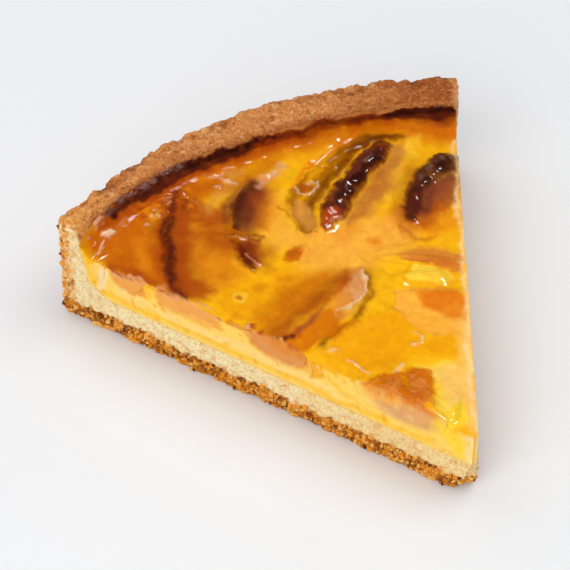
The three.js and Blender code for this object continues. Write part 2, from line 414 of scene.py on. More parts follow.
def fillTop(x, y):
    radius, angle = np.hypot(x, y), np.arctan2(x, y)
    lip = lipHeight(angle)
    lipInside = wallInside(lip, angle)
    shore = step(radius, lipInside - fill["shoreRun"], lipInside)
    climb = np.clip((radius - lipInside + fill["lipRun"]) / fill["lipRun"], 0, 1) ** 2
    height = mix(fill["level"], fromLeft(fill["shoreLeft"], fill["shore"], angle), shore)
    height = height - fill["tipSlump"] * bell(radius, cut["tipRun"])
    height = mix(height, lip + 0.5 * grain(flat(x, y), 4.0, 31), climb)
    height = height + fill["ripple"] * (1 - climb) * layers(flat(x, y), fill["rippleSize"], 3)
    lumpy = step(radius, lipInside - fill["lumpyFrom"], lipInside - fill["lumpyTo"])
    lumpy = lumpy * mix(0.4, 1.0, 1 - step(angle, -0.2, 0.1))  # least at the right
    bumps = fill["lumps"] * layers(flat(x, y), 5.0, 37) + fill["smallLumps"] * grain(flat(x, y), 1.6, 38)
    height = height + lumpy * bumps
    for relief in reliefs:
        height = height + relief["share"] * reliefShare(relief, x, y)
    for wedge in wedges.values():
        top, sideways = wedgeTop(wedge, x, y)
        film = mix(-fill["bare"], fill["film"], step(sideways, 0.3, 0.7))
        film = film * (1 - 0.5 * step(sideways, 0.8, 1.3))
        over = top + film + fill["filmRagged"] * grain(flat(x, y), 2.5, 35)
        overlap = np.clip(0.5 + 0.5 * (over - height) / fill["filmBlend"], 0, 1)
        height = mix(height, over, overlap) + fill["filmBlend"] * overlap * (1 - overlap)
    return height


def inWedge(points):  # how deep a point lies inside any wedge's section, as a share
    deepest = np.full(len(points), wedgeMesh["farOff"])
    for wedge in wedges.values():
        sideways, ridge, curve, girth, beyond = wedgeSpot(wedge, points[:, 0], points[:, 1])
        up = points[:, 2] - fill["level"]
        above = np.clip(1 - sideways, 0, 1) ** curve - up / np.maximum(ridge, 0.05)
        below = 1 - np.hypot(sideways, up / (wedge["depth"] * girth))
        here = np.where(beyond > 0, wedgeMesh["farOff"], np.where(up > 0, above, below))
        deepest = np.maximum(deepest, here)
    return deepest


# colours of the filling and the apples; the pale, pink, pinkish brown and grey ones also serve as painted
# highlights, glints and sheen, and the olive browns carry painted shade
palette = {
    "yolk": srgb(248, 180, 12), "lemon": srgb(255, 214, 66), "saffron": srgb(241, 163, 0),
    "honey": srgb(224, 132, 14), "amber": srgb(205, 104, 0), "rust": srgb(174, 72, 5),
    "caramel": srgb(134, 48, 4), "toast": srgb(98, 32, 6), "plum": srgb(80, 26, 12),
    "biscuit": srgb(196, 124, 60), "burnt": srgb(46, 9, 4), "mauve_and_sheen": srgb(140, 64, 34),
    "dusk": srgb(112, 46, 28), "olive_and_shade": srgb(120, 60, 0), "khaki_and_shade": srgb(158, 90, 0),
    "putty_and_sheen": srgb(214, 144, 62), "flesh": srgb(190, 112, 44), "rose": srgb(230, 160, 120),
    "pith": srgb(244, 208, 168), "curd": srgb(255, 210, 100), "orange": srgb(228, 118, 8),
    "ember": srgb(178, 62, 12), "gold": srgb(222, 132, 52), "apple": srgb(250, 174, 62),
    "pale": srgb(252, 196, 104), "beige": srgb(222, 158, 98), "cream": srgb(250, 218, 158),
    "grey_sheen": srgb(140, 100, 88), "slab": srgb(238, 158, 66), "butter": srgb(254, 192, 40),
    "citron": srgb(255, 211, 42),
}

# the dark band against the rim, in millimetres on the level of the filling, seen along the slant
rimMarks = [
    stroke("rust", 0.8, 0.8, 1.6, [(-49.6, 109), (-44, 110.6)], mottle=0.5, dull=0.95),
    stroke("ember", 0.9, 0.8, 1.2, [(-51.6, 108), (-52.2, 105.4)], mottle=0.3),
    stroke("rust", 0.85, 1.8, 3.6, [(-44, 107.5), (-36, 108.5), (-28, 111), (-20, 112.5), (-10, 112.8),
           (1.4, 112.8), (11.4, 112.1)], dull=0.97),
    stroke("rust", 0.7, 1.2, 3.0, [(11.4, 112.1), (21.4, 110.8), (31.4, 109.2), (39.6, 106)], dull=0.9),
    patch("caramel", 0.9, 4.0, [(38, 110), (47, 106), (57, 101), (56, 96.5), (51, 98), (45, 102)]),
    patch("caramel", 0.97, 1.4, [(-43, 110), (-36, 113.5), (-27, 116), (-10, 119), (12, 118.5), (28, 116),
          (44, 111.6), (59, 105), (54.5, 99.6), (46.3, 104.2), (37.4, 108), (26.5, 110), (15.3, 112),
          (4.3, 113.6), (-8, 112.7), (-17.4, 112.8), (-34, 109.6), (-41, 107.8)], grit=0.7, dull=0.95),
    patch("plum", 0.95, 1.2, [(-43, 110), (-36, 113.5), (-27, 116), (-19, 118), (-10, 119), (2, 119),
          (3.4, 114.2), (-1.6, 114), (-9.5, 113.6), (-17.4, 113), (-25, 112), (-34, 109.6), (-41, 107.8)],
          grit=0.8, mottle=0.15, dull=0.9),
    patch("plum", 0.9, 1.4, [(37, 114.6), (44, 111.6), (52, 108.3), (59, 105), (55.5, 99), (50.5, 100.6),
          (45.5, 103.8), (38.4, 107.4)], grit=0.8, mottle=0.15, dull=0.8),
    stroke("plum", 0.8, 0.7, 1.3, [(1.5, 116.4), (5.6, 116), (16.4, 114.2), (27.5, 112.2), (38, 109.2)],
           grit=0.9, mottle=0.5, dull=0.9),
    stroke("burnt", 0.9, 0.9, 1.6, [(-41, 109.6), (-35, 111.8), (-26, 114.5), (-18, 116), (-9, 116.6),
           (0, 116.6), (9, 116)], grit=0.9, mottle=0.4),
    # grey: painted sheen and glints on the burnt band
    stroke("grey_sheen", 0.9, 0.9, 1.2, [(-42, 110), (-36, 112.4), (-30, 114.4), (-24, 115.8), (-17, 117)],
           grit=0.9, mottle=0.9),
    stroke("burnt", 0.9, 0.9, 1.6, [(40, 108.6), (46, 106.4), (52, 103.8), (57, 101.2)], grit=0.7),
    patch("biscuit", 0.95, 0.6, [(-26, 116.4), (-17.7, 117.5), (-5.6, 118.2), (5.9, 117.5), (17, 115.7),
          (28.1, 113.7), (38.6, 110.7), (48.9, 107.1), (56.1, 103.7), (59, 108), (51.6, 111.4),
          (41.4, 115.2), (30.8, 118.2), (19.6, 120.2), (8, 121.1), (-3.8, 121.6), (-15.9, 121),
          (-26, 118.4)], grit=0.6, dull=0.98),
]

# where the other baked colours lie, in the same terms, with painted highlights, glints, sheen and shade
# among them
topMarks = [
    patch("amber", 0.9, 9.0, [(-56, 98), (-44, 114), (0, 121), (56, 106), (60, 90), (46, 92), (36, 101.5),
          (20, 105), (0, 107.5), (-44, 104)]),
    patch("apple", 0.7, 5.0, [(-13, 84), (-8, 92), (-3, 98), (0, 96), (-4, 88), (-3, 80), (-6, 77),
          (-12, 78)]),
    patch("apple", 0.9, 8.0, [(-6, 80), (2, 80), (12, 79), (24, 74), (20, 63), (4, 61), (-8, 67)]),
    patch("honey", 0.5, 4.0, [(4, 77), (12, 77), (11, 73), (6, 72)]),
    patch("lemon", 0.35, 4.0, [(20, 81), (38, 98), (44, 98), (36, 90), (24, 80)]),
    patch("saffron", 0.75, 5.0, [(-30, 74), (-12, 72), (-8, 67), (-26, 58), (-33, 64)]),
    # the shore at the left
    stroke("orange", 0.6, 2.6, 3.0, [(-48, 103), (-38, 105.6), (-29, 108.6), (-20, 110.4), (-10, 111.4)],
           grit=0.8, dull=0.98),
    stroke("rust", 0.9, 1.6, 2.4, [(-47, 106), (-38, 107), (-29, 110), (-18, 111.6), (-10, 112.4)],
           grit=0.8, mottle=0.9, dull=0.98),
    stroke("saffron", 0.9, 1.2, 2.4, [(-45, 104), (-36, 104.6), (-28, 107), (-14, 109.6)], grit=0.7,
           mottle=0.9, dull=0.98),
    # left corner
    patch("amber", 0.97, 3.0, [(-51, 104), (-42, 108), (-33, 106), (-35, 97), (-38, 86), (-41, 79),
          (-47, 87), (-51, 95)]),
    stroke("rust", 0.35, 2.5, 6.0, [(-49, 98), (-46, 93)]),
    patch("honey", 0.75, 3.0, [(-40, 100), (-37.5, 98), (-40, 88), (-44.5, 86.5), (-42.5, 93)]),
    stroke("rust", 0.85, 1.2, 2.4, [(-49.6, 92.6), (-46.6, 88.4), (-43.4, 83), (-40, 78.6)], mottle=0.3),
    # pale and pink marks here: painted highlights and glints on the lumps and along the cut edge; the pale
    # patch is also a pale apple bit
    patch("pith", 0.9, 0.7, [(-46.2, 105.3), (-43.7, 105.4), (-42.6, 103.3), (-45.3, 102.1),
          (-46.8, 103.4)], lift=0.6),
    stroke("ember", 0.9, 0.9, 1.2, [(-51.4, 107.8), (-51.9, 105)], grit=0.6),
    stroke("pith", 0.95, 0.55, 0.7, [(-48.7, 108.2), (-46.7, 108.7), (-43.9, 109.3)], lift=0.5,
           mottle=0.25),
    stroke("pith", 0.8, 0.3, 0.7, [(-49.9, 98.4), (-47.9, 100.4), (-47, 101.5)], lift=0.4, mottle=0.3),
    stroke("rose", 0.9, 0.4, 0.7, [(-50.3, 90.6), (-48.7, 88.2), (-46.2, 86.3), (-45.1, 83.1)], lift=0.35),
    stroke("rose", 0.9, 0.4, 0.7, [(-43.8, 81.4), (-42.6, 79.8), (-42.4, 78.1)], lift=0.35),
    stroke("rose", 0.9, 0.35, 0.6, [(-41.2, 80.5), (-40.7, 78.2), (-40.7, 76.7)], lift=0.4),
    stroke("rose", 0.9, 0.35, 0.6, [(-39.1, 79.3), (-38.6, 77.5), (-39, 74.7)], lift=0.4),
    stroke("rose", 0.8, 0.35, 0.6, [(-37.3, 71.3), (-36.3, 69.3), (-35.3, 67.2)], lift=0.35),
    stroke("ember", 0.8, 0.6, 1.0, [(-43.4, 79.7), (-42, 76.9), (-38.8, 73.7)], grit=0.5),
    dots("rose", 0.9, 0.45, 0.7, [(-47.6, 106.6), (-46.4, 107.4), (-44.6, 107.6), (-50.4, 103.6),
         (-49.8, 101.6)], lift=0.5),
    dots("orange", 0.9, 1.1, 1.2, [(-31.9, 108.5), (-31.9, 106.4), (-29.9, 106.9), (-30.1, 104.3),
         (-26.3, 109.7), (-24.3, 104.3)], lift=0.6, dull=0.3),
    dots("ember", 0.8, 0.8, 1.0, [(-30.3, 110.2), (-31.9, 104.8), (-30.9, 102.8), (-34.8, 105),
         (-36.6, 106.6), (-28.6, 107.4)], grit=0.6),
    dots("honey", 0.9, 0.7, 0.9, [(-30.6, 108.9), (-29.6, 106.3), (-33.2, 106.2), (-27.7, 108.4),
         (-28.4, 110.6), (-29.2, 104), (-32.5, 108.3), (-35.4, 107.8), (-38.8, 105.3)], lift=0.6, dull=0.2),
    dots("pith", 0.8, 0.4, 0.6, [(-33.2, 103.8), (-31.7, 103), (-35, 101.7), (-24.4, 101.4), (-20.5, 102.7),
         (-20.9, 103.6), (-21.2, 105.2)], lift=0.5),
    stroke("butter", 0.8, 0.6, 1.4, [(-54, 102), (-53.5, 97), (-51, 91.5)]),
    # long wedge at the left
    patch("honey", 0.9, 6.0, [(-31, 101), (-20, 104), (-17, 97), (-20, 88), (-21, 74), (-33, 72)]),
    stroke("rust", 0.7, 4.5, 7.0, [(-27, 103), (-31, 95), (-34, 87), (-35.5, 78)]),
    stroke("rust", 0.9, 2.2, 4.0, [(-32.5, 100), (-35.5, 92), (-38.5, 83), (-39.5, 77)]),
    stroke("rust", 0.95, 2.2, 3.4, [(-26.5, 100.5), (-29, 94.5), (-32, 89.3), (-34.6, 83.6), (-36.6, 78)]),
    stroke("caramel", 0.95, 1.4, 2.2, [(-28.5, 102.5), (-32, 97), (-35.5, 88.5), (-38, 81), (-38.6, 75)]),
    stroke("toast", 0.95, 1.2, 1.6, [(-27.9, 102.9), (-31.3, 97.5), (-33.2, 92.6), (-34.8, 88.7),
           (-36.5, 83.8), (-38.3, 79.5), (-38.5, 74.5)], grit=0.5),
    dots("plum", 0.8, 0.7, 1.0, [(-28.4, 102), (-30.2, 99), (-31.6, 97), (-32.4, 94.2), (-33.6, 92),
         (-34.1, 89.8), (-35.4, 87.6), (-36.9, 83), (-37.6, 81)], lift=0.35),
    patch("rust", 0.85, 3.0, [(-38, 79), (-33, 77), (-31.5, 73), (-34, 70.5), (-38, 73)]),
    patch("rust", 0.85, 2.0, [(-31, 103), (-27, 109), (-22, 112), (-20, 106), (-21, 100), (-26, 100)],
          grit=0.4),
    stroke("toast", 0.85, 1.0, 1.6, [(-28, 103.5), (-26, 106), (-23.5, 109)], grit=0.5),
    dots("caramel", 0.8, 0.7, 0.9, [(-26.4, 104.2), (-24.6, 102.6), (-23.2, 104.4), (-24.4, 106.6),
         (-22.4, 108)], lift=0.6),
    dots("orange", 0.8, 0.4, 0.8, [(-27.2, 106.6), (-25.2, 109), (-21.8, 106.4), (-22.6, 102.4)], lift=0.5),
    stroke("rust", 0.7, 1.3, 3.0, [(-20.5, 106), (-19.5, 101), (-22, 95)]),
    patch("rust", 0.85, 5.0, [(-26, 99), (-18, 100), (-15, 94), (-22, 91)]),
    patch("rust", 0.9, 6.0, [(-27, 94), (-14, 89), (-12, 79), (-16, 72), (-19.6, 80), (-26, 85)]),
    patch("caramel", 0.9, 2.6, [(-19.5, 86), (-15, 85), (-14.4, 80), (-16, 75), (-18.5, 73.5),
          (-20.4, 77)]),
    stroke("toast", 0.95, 0.9, 2.2, [(-18.4, 84.4), (-18.4, 80.5), (-18.6, 76)]),
    # painted highlight along the brown patch
    stroke("rose", 0.55, 0.25, 0.7, [(-17.6, 80.6), (-17.4, 77), (-17, 74.2)], lift=0.35),
    # middle wedge
    patch("amber", 0.85, 4.0, [(-23, 107), (-12, 110), (-8, 108), (-13, 104.4), (-20, 103)]),
    stroke("putty_and_sheen", 0.6, 1.5, 3.0, [(-19, 99), (-14, 102.5), (-8, 105.5)]),
    stroke("rust", 0.55, 4.5, 7.0, [(-16, 90), (-10, 96), (-4, 101)]),
    # mauve on this wedge: brown colour with a painted sheen on it
    stroke("mauve_and_sheen", 0.8, 1.3, 2.5, [(-17.5, 94), (-13, 98.6), (-8, 102), (-4, 104)]),
    patch("honey", 0.8, 3.0, [(-12, 88), (-7, 92), (-2, 99), (0, 98), (-5, 90), (-10, 85)]),
    patch("mauve_and_sheen", 0.9, 4.6, [(-2, 102), (-9, 99), (-16, 90), (-13, 87), (-7, 91.5), (-3, 97)]),
    patch("dusk", 0.6, 4.0, [(-3, 102), (-9, 99.5), (-16, 90.5), (-13.6, 88), (-8, 94), (-4, 99)]),
    patch("toast", 0.4, 3.0, [(-2.7, 102.4), (-5.8, 102), (-9.3, 100.3), (-12.6, 97), (-16, 92.3),
          (-14, 90.4), (-9.2, 95.4), (-5.2, 99.2)]),
    stroke("plum", 0.95, 1.4, 1.8, [(-3.4, 102.4), (-8, 100), (-11.6, 97), (-14.8, 92.6), (-16, 90.6)]),
    stroke("mauve_and_sheen", 0.8, 0.7, 1.8, [(-6, 98.6), (-9, 95.4), (-12.4, 91.4)]),
    stroke("toast", 0.5, 1.4, 2.6, [(-5, 100), (-8.6, 96), (-12, 92)]),
    stroke("rust", 0.45, 1.6, 3.0, [(-5, 98), (-8, 92.6), (-10.4, 88.2)]),
    stroke("rust", 0.4, 1.6, 3.0, [(-7, 105.2), (-2, 106.2), (4.4, 106.4)], dull=0.6),
    stroke("rust", 0.45, 2.0, 3.0, [(-19.4, 109.6), (-15, 107.4), (-10.6, 103.8)]),
    # pink, pale and putty marks from here to the folds: painted highlights, glints and reflections; at the
    # tip also pale flesh
    stroke("rose", 0.8, 0.8, 1.4, [(-3.5, 100.5), (-1.5, 102)]),
    stroke("rose", 0.7, 1.2, 2.0, [(-1, 102.9), (2.1, 103), (5.5, 105)], dull=0.4),
    dots("pith", 0.8, 0.5, 0.7, [(1.2, 102.8), (2.4, 103.4)], lift=0.5),
    patch("putty_and_sheen", 0.6, 1.2, [(-8.5, 110), (-3.5, 109.5), (-4, 107), (-8.5, 107)]),
    stroke("pith", 0.5, 0.4, 0.8, [(-12, 109.7), (-10.6, 107.6), (-10, 105.7), (-8, 104.6)], lift=0.5),
    dots("pith", 0.7, 0.5, 0.7, [(-10.5, 109.5), (-9.2, 109.2), (-9.4, 106.4), (-12.8, 106)], lift=0.6),
    stroke("toast", 0.8, 0.3, 0.8, [(-20.3, 88.7), (-17.5, 87.7), (-16.3, 86.2), (-13.8, 85.4),
           (-11.9, 83.7)]),
    stroke("putty_and_sheen", 0.6, 0.25, 0.6, [(-19.6, 88), (-17.2, 86.9), (-16, 85.4), (-13.6, 84.6)], lift=0.4),
    stroke("plum", 0.7, 0.3, 0.7, [(-17.3, 90), (-15.6, 88.2), (-14.6, 87)]),
    stroke("caramel", 0.7, 0.3, 0.7, [(-15, 84.8), (-13.6, 82.9), (-11.9, 83.7)], lift=0.4),
    # back wedge, its basin and burnt ridge
    # olive and khaki in the basin: the apple's colour darkened with painted shade, deepest along the groove
    patch("khaki_and_shade", 0.92, 1.6, [(39.6, 99), (38.6, 100.7), (35.6, 103), (31.5, 104.9), (28, 104.9),
          (23, 103.8), (17.7, 102.1), (12.2, 100), (6.8, 98), (2.7, 95.9), (0, 92.4), (-2, 87.4),
          (-2.8, 82.3), (-2.1, 78.5), (0, 78.5), (4.5, 84.9), (9.7, 89.5), (14, 93.4), (21.2, 97.7),
          (27, 100.2), (31, 101), (35.3, 99.5)], dull=0.75),
    patch("olive_and_shade", 0.95, 1.8, [(38.6, 99.6), (35.4, 102.4), (31, 104), (27, 103.6), (22, 100.6), (27, 101),
          (33, 101)], dull=0.6),
    stroke("olive_and_shade", 0.85, 0.8, 1.8, [(26, 101.2), (20, 98.6), (13, 94.6), (8, 90.4), (4.5, 87)], dull=0.9),
    stroke("saffron", 0.8, 0.8, 1.6, [(15, 100.3), (10, 97.4), (4, 91.5), (0, 86.5)], dull=0.6),
    stroke("saffron", 0.45, 0.6, 1.2, [(26.4, 99.4), (21, 97), (14.6, 92.6), (10, 88.8), (6.6, 85.6),
           (3.4, 81.6)]),
    patch("putty_and_sheen", 0.75, 2.0, [(-1.6, 89.4), (2, 91), (4.6, 88.5), (3.5, 84), (2, 80), (-1, 80)]),
    stroke("orange", 0.8, 0.5, 0.9, [(30, 106.2), (20, 104), (10, 100.6), (4, 97.2)], dull=0.9),
    stroke("caramel", 0.5, 0.3, 0.7, [(-2.8, 91), (-3, 84), (-1, 79), (1.5, 78.4)]),
    stroke("rust", 0.8, 1.3, 1.2, [(5.5, 94), (7, 94.5)]),
    # pale: painted glints on the basin's rim
    stroke("pith", 0.5, 0.35, 0.6, [(4.2, 96.3), (3.5, 93.5), (5, 91.8), (7.9, 92.4), (10.6, 94.9)],
           lift=0.5),
    dots("pith", 0.7, 0.5, 0.7, [(8, 95.2), (9.4, 95.4), (17, 97.6)], lift=0.5),
    patch("flesh", 0.9, 4.0, [(36, 96), (35.5, 92.6), (31.4, 88.4), (25.2, 83), (17.5, 79), (10, 77),
          (9.8, 79.6), (17.4, 85.2), (23.8, 90.5)]),
    patch("putty_and_sheen", 0.75, 1.6, [(33.6, 98.6), (38.1, 97.4), (36, 93), (32.4, 93.6)]),
    patch("caramel", 0.9, 0.9, [(33, 100.4), (25.5, 98.2), (21, 96.2), (17.5, 94), (14.6, 91.2), (11.6, 90),
          (9, 87.3), (6.3, 84), (3.8, 80), (3.8, 78.2), (8.6, 80), (13, 83.2), (17.4, 86.4), (20.2, 89),
          (22.4, 91.6), (26.2, 92.2), (30.6, 94.4), (33.6, 97)], lift=0.35, reach=0.6),
    patch("plum", 0.97, 1.1, [(32.4, 99.8), (25.5, 97.6), (21, 95.6), (17.6, 93.5), (14.6, 90.5),
          (11.6, 89), (9.4, 86.6), (7.4, 84), (7.6, 81.4), (12.6, 84.4), (16.6, 87.3), (19.6, 90),
          (22.2, 92.6), (26, 93.2), (30, 95.2), (32.6, 97.4)], grit=0.6, lift=0.35, reach=0.7),
    stroke("burnt", 0.8, 1.0, 2.0, [(28.6, 96.4), (23, 94.2), (18.4, 91.6), (14, 88.2), (11, 86.2)],
           grit=0.85),
    stroke("dusk", 0.7, 0.6, 1.4, [(31, 99.2), (25, 97), (20.6, 94.8), (17, 92.6)], grit=0.5, dull=0.5),
    dots("burnt", 0.8, 1.5, 2.0, [(26.6, 94.6), (19.6, 90.6), (15.4, 87.4)], lift=0.9),
    dots("caramel", 0.6, 0.9, 1.2, [(31.4, 97), (23, 92.6), (11.6, 85.8)], lift=0.6),
    # grey: painted sheen on the burnt ridge
    stroke("grey_sheen", 0.8, 0.4, 0.8, [(28, 96.8), (24.6, 95.6), (22.4, 94)], mottle=0.8),
    stroke("grey_sheen", 0.8, 0.3, 0.7, [(17.4, 90.6), (14.6, 88.4)], mottle=0.6),
    stroke("ember", 0.85, 1.2, 1.4, [(8.6, 83), (5, 80)], grit=0.5, dull=0.6),
    # painted highlight at the ridge's low end
    stroke("rose", 0.6, 0.4, 0.7, [(6.2, 79.6), (8.4, 80.6)], lift=0.6),
    patch("amber", 0.85, 5.0, [(36, 106), (50, 101), (60, 94), (52, 92), (40, 99)], mottle=0.3),
    patch("orange", 0.8, 3.0, [(48, 101), (58, 96), (57, 91), (52, 92), (49, 96)], mottle=0.8, grit=0.6),
    # right wedge
    patch("rust", 0.7, 5.0, [(20, 66), (22, 76), (30, 85), (36, 90), (34, 80), (26, 68)]),
    patch("orange", 0.6, 5.0, [(23, 70), (40, 75), (34, 63), (24, 62.5)]),
    patch("rust", 0.9, 5.0, [(24, 74), (41, 79), (37, 70), (25, 67)]),
    patch("dusk", 0.95, 4.0, [(25, 74), (31, 82), (45, 83), (42, 78), (34, 74), (27, 69.5)]),
    patch("gold", 0.5, 4.0, [(37, 77), (43, 79), (39, 71.5), (35.5, 72)]),
    # mauve: brown with a painted sheen on the face
    patch("mauve_and_sheen", 0.75, 4.0, [(36, 80), (45, 80.5), (43, 75), (38, 70), (34, 73)]),
    patch("plum", 0.97, 1.3, [(47.5, 86.3), (43, 88.2), (39.4, 88), (36.3, 86), (32.1, 83.8), (28, 80.3),
          (25.4, 75.9), (23.6, 71.6), (24.4, 70.4), (26.6, 72.9), (29.5, 76.1), (32.4, 79.2), (35.4, 80.8),
          (39, 82.6), (42.1, 83), (45.4, 82.2)], grit=0.7, lift=0.4, reach=0.7, dull=0.5),
    stroke("burnt", 0.7, 1.0, 2.0, [(45.6, 85.4), (42, 86.2), (38.5, 85.4), (35, 83.3), (31.5, 81),
           (29, 78.3)], grit=0.8, dull=0.55),
    # grey: painted sheen along the burnt cap
    stroke("grey_sheen", 0.45, 0.7, 1.4, [(46, 86), (43, 87), (40, 87), (36.6, 84.8), (32.4, 82.6)], grit=0.6,
           dull=0.8, mottle=0.9),
    dots("burnt", 0.8, 1.5, 2.0, [(41, 85), (34.6, 81.8)], lift=0.8),
    dots("caramel", 0.6, 0.9, 1.2, [(38, 83.6), (29.2, 77.8)], lift=0.5),
    stroke("rust", 0.7, 0.4, 1.8, [(20.4, 70), (20.2, 67), (20.9, 64.2), (22.8, 62.6), (25.5, 62.1)]),
    # side and low wedges with the lump between them
    patch("gold", 0.85, 2.0, [(14.8, 61.1), (17.2, 62), (21.5, 60.4), (26.9, 57), (29.4, 53.9), (26, 48.4),
          (23.7, 48.7), (21.7, 52.5), (19, 56.1), (15.7, 58.6)], dull=0.3),
    patch("ember", 0.4, 3.0, [(17, 59.4), (22, 57), (28, 52), (25.6, 48.4), (22.6, 52), (19, 56.3)]),
    stroke("mauve_and_sheen", 0.5, 0.4, 1.4, [(15.5, 59.4), (17.7, 57.6), (20.7, 55.2)]),
    patch("lemon", 0.85, 1.2, [(13, 54.9), (17.1, 56.1), (20.4, 54.3), (22, 50.6), (22, 46.6), (18.5, 47.2),
          (15.2, 49.7), (12.9, 52.3)]),
    stroke("saffron", 0.9, 0.4, 0.9, [(12, 53), (13.4, 55.6), (17.2, 56.7), (20.6, 54.8)]),
    patch("apple", 0.9, 0.8, [(7.2, 50.8), (12.7, 48.8), (17.8, 46.2), (20.8, 43.2), (21.4, 39.9),
          (17.5, 34.5), (13.4, 28.3), (8.8, 31.5), (6.3, 36.8), (4.6, 41), (4.6, 44.9)]),
    patch("orange", 0.92, 2.5, [(12, 48.6), (17.7, 46.2), (21, 43), (21.6, 39.9), (17.2, 34), (14.4, 37.3),
          (11.4, 42.6)]),
    stroke("gold", 0.4, 0.3, 1.0, [(7.2, 50.8), (4.9, 46.5), (4.5, 41.5), (6.3, 36.8), (8.6, 31.8)]),
    # centre wedge
    patch("amber", 0.85, 6.0, [(-28, 53), (-10, 57), (0, 63), (-4, 66), (-16, 65), (-27, 60)]),
    stroke("rust", 0.8, 1.6, 3.0, [(-25, 53), (-12, 56.5), (-2, 61.5)]),
    patch("amber", 0.9, 2.0, [(-27, 50.5), (-9, 53.4), (-7, 49.5), (-14, 44.5), (-26, 44)], dull=0.93),
    # khaki line: painted shadow along the wedge's lower edge
    stroke("khaki_and_shade", 0.9, 0.9, 2.2, [(5.2, 60), (3.8, 56.4), (2, 53), (-1.9, 49.4), (-6, 46.9), (-11, 45.5),
           (-17, 43)]),
    patch("amber", 0.7, 0.9, [(-14.2, 45.6), (-11.8, 47.5), (-8.8, 47.8), (-7, 46.8), (-9.8, 44.4),
          (-14.6, 42.6)]),
    patch("putty_and_sheen", 0.6, 1.0, [(-6.7, 50), (-9, 50.6), (-8.6, 48.8), (-6, 48.6), (-2, 51)], dull=0.8),
    patch("gold", 0.9, 1.4, [(-9, 52.6), (-7.8, 54.8), (-2.7, 58.8), (2.2, 63), (4.9, 62), (4, 58.3),
          (0.4, 54.2), (-3.8, 51.4)], grit=0.8),
    patch("beige", 0.85, 2.0, [(-3.6, 56.4), (1, 61), (4.4, 61.4), (4, 58.3), (0.4, 54.2), (-3, 52.4)],
          grit=0.6),
    stroke("ember", 0.75, 0.9, 2.0, [(-24, 51.4), (-19, 51.8), (-14, 53.2), (-9, 55.5), (-3, 58.8),
           (0.5, 62.3)], grit=0.3),
    stroke("mauve_and_sheen", 0.7, 0.5, 1.2, [(-25, 50.9), (-20, 51.2), (-15, 52.4), (-11, 53.8)]),
    stroke("ember", 0.85, 1.0, 1.4, [(-33, 60), (-29.5, 54), (-26, 48.6)], mottle=0.5, grit=0.7, dull=0.5),
    # pink: painted highlights on the crest by the cut
    stroke("rose", 0.9, 0.7, 0.9, [(-32, 58.4), (-28.6, 52.6), (-25.4, 47.4)], mottle=0.9, grit=0.7,
           lift=0.2),
    dots("ember", 0.95, 0.8, 1.0, [(-28.6, 57.2), (-27.9, 54.8), (-27, 52.4), (-26, 50)], lift=0.5,
         grit=0.6),
    dots("rose", 0.95, 0.5, 0.7, [(-29.4, 57.6), (-28.7, 55.6), (-28, 53.4), (-27.3, 51.2), (-26.6, 49)],
         lift=0.6),
    dots("plum", 0.9, 0.9, 1.2, [(-25.6, 50.8), (-24, 50.6), (-22.6, 50.4)], grit=0.6, lift=0.4),
    dots("ember", 0.8, 0.5, 0.8, [(-27, 51), (-22, 49.4), (-20.6, 50)], lift=0.4),
    # pale: painted highlight along the crescent's edge
    stroke("pith", 0.8, 0.5, 0.6, [(-8, 51.6), (-5.3, 51.2), (-2.3, 52.2), (0.5, 54.4), (3.4, 57.9),
           (4.4, 60.4)], lift=0.8, mottle=0.3),
    dots("pith", 0.7, 0.3, 0.5, [(-1, 55), (0.6, 57.4), (1.8, 59.4), (-3, 54)], lift=0.35),
    patch("amber", 0.0, 1.6, [(-27, 51), (-14, 52.4), (-7, 50.6), (-6, 47), (-14, 43), (-27, 43)],
          dull=1.0),
    # front and tip
    patch("saffron", 0.85, 3.0, [(-17, 41), (-8, 46), (3, 46), (6, 38), (2, 30), (-8, 28.5), (-14, 31)]),
    patch("saffron", 0.8, 2.5, [(2, 33), (12, 31), (11, 24), (4, 27)]),
    patch("lemon", 0.85, 4.0, [(-1, 26), (5, 24), (9, 20), (2, 8), (-4, 4), (-4, 13), (0, 18)]),
    patch("pale", 0.8, 4.0, [(0, 24), (6, 23), (10, 20), (5, 11), (-1, 13), (1, 18)], dull=0.3),
    patch("citron", 0.85, 2.4, [(-0.7, 11.4), (3.4, 9.6), (0.4, 3), (-3.3, 5)]),
    stroke("saffron", 0.8, 0.7, 2.0, [(-1.1, 30.7), (3.4, 28.8), (7.6, 26.5), (11.6, 22.4)]),
    patch("amber", 0.95, 1.6, [(-13.1, 29.1), (-8.4, 27.8), (-3.4, 26.9), (0.5, 24.1), (0.2, 20.5),
          (-2.8, 15.6), (-8, 13.6), (-12, 18), (-15, 22.4), (-16.6, 27)], grit=0.9, dull=0.7),
    patch("rust", 0.95, 1.6, [(-11, 26.6), (-4, 25.6), (-1, 22.6), (-3, 17), (-8, 15), (-12, 20)], grit=0.9,
          mottle=0.7, dull=0.7),
    patch("gold", 0.9, 1.0, [(-13, 27.6), (-6, 26.4), (0, 23), (-2, 16.4), (-8, 14), (-13, 20)], grit=0.9,
          mottle=1.1, dull=0.7),
    stroke("gold", 0.8, 1.2, 1.4, [(-14.6, 26.8), (-12.4, 23), (-10, 19.2), (-7.4, 16), (-4, 14.6)],
           mottle=0.9, grit=0.9, dull=0.95),
    stroke("ember", 0.7, 0.6, 1.0, [(-13.4, 26), (-11, 22), (-8.6, 18)], mottle=0.9, grit=0.9, dull=0.95),
    # pale: painted glints and streaks of light on the glaze
    stroke("pith", 0.4, 0.3, 0.8, [(-2.4, 11), (0, 11.8), (2, 13)], lift=0.12),
    stroke("pith", 0.6, 0.3, 0.7, [(-6.8, 27.5), (-3.3, 28.7)], lift=0.3),
    stroke("pith", 0.6, 0.4, 0.8, [(-14, 36), (-13, 33), (-12, 30.5)], lift=0.4),
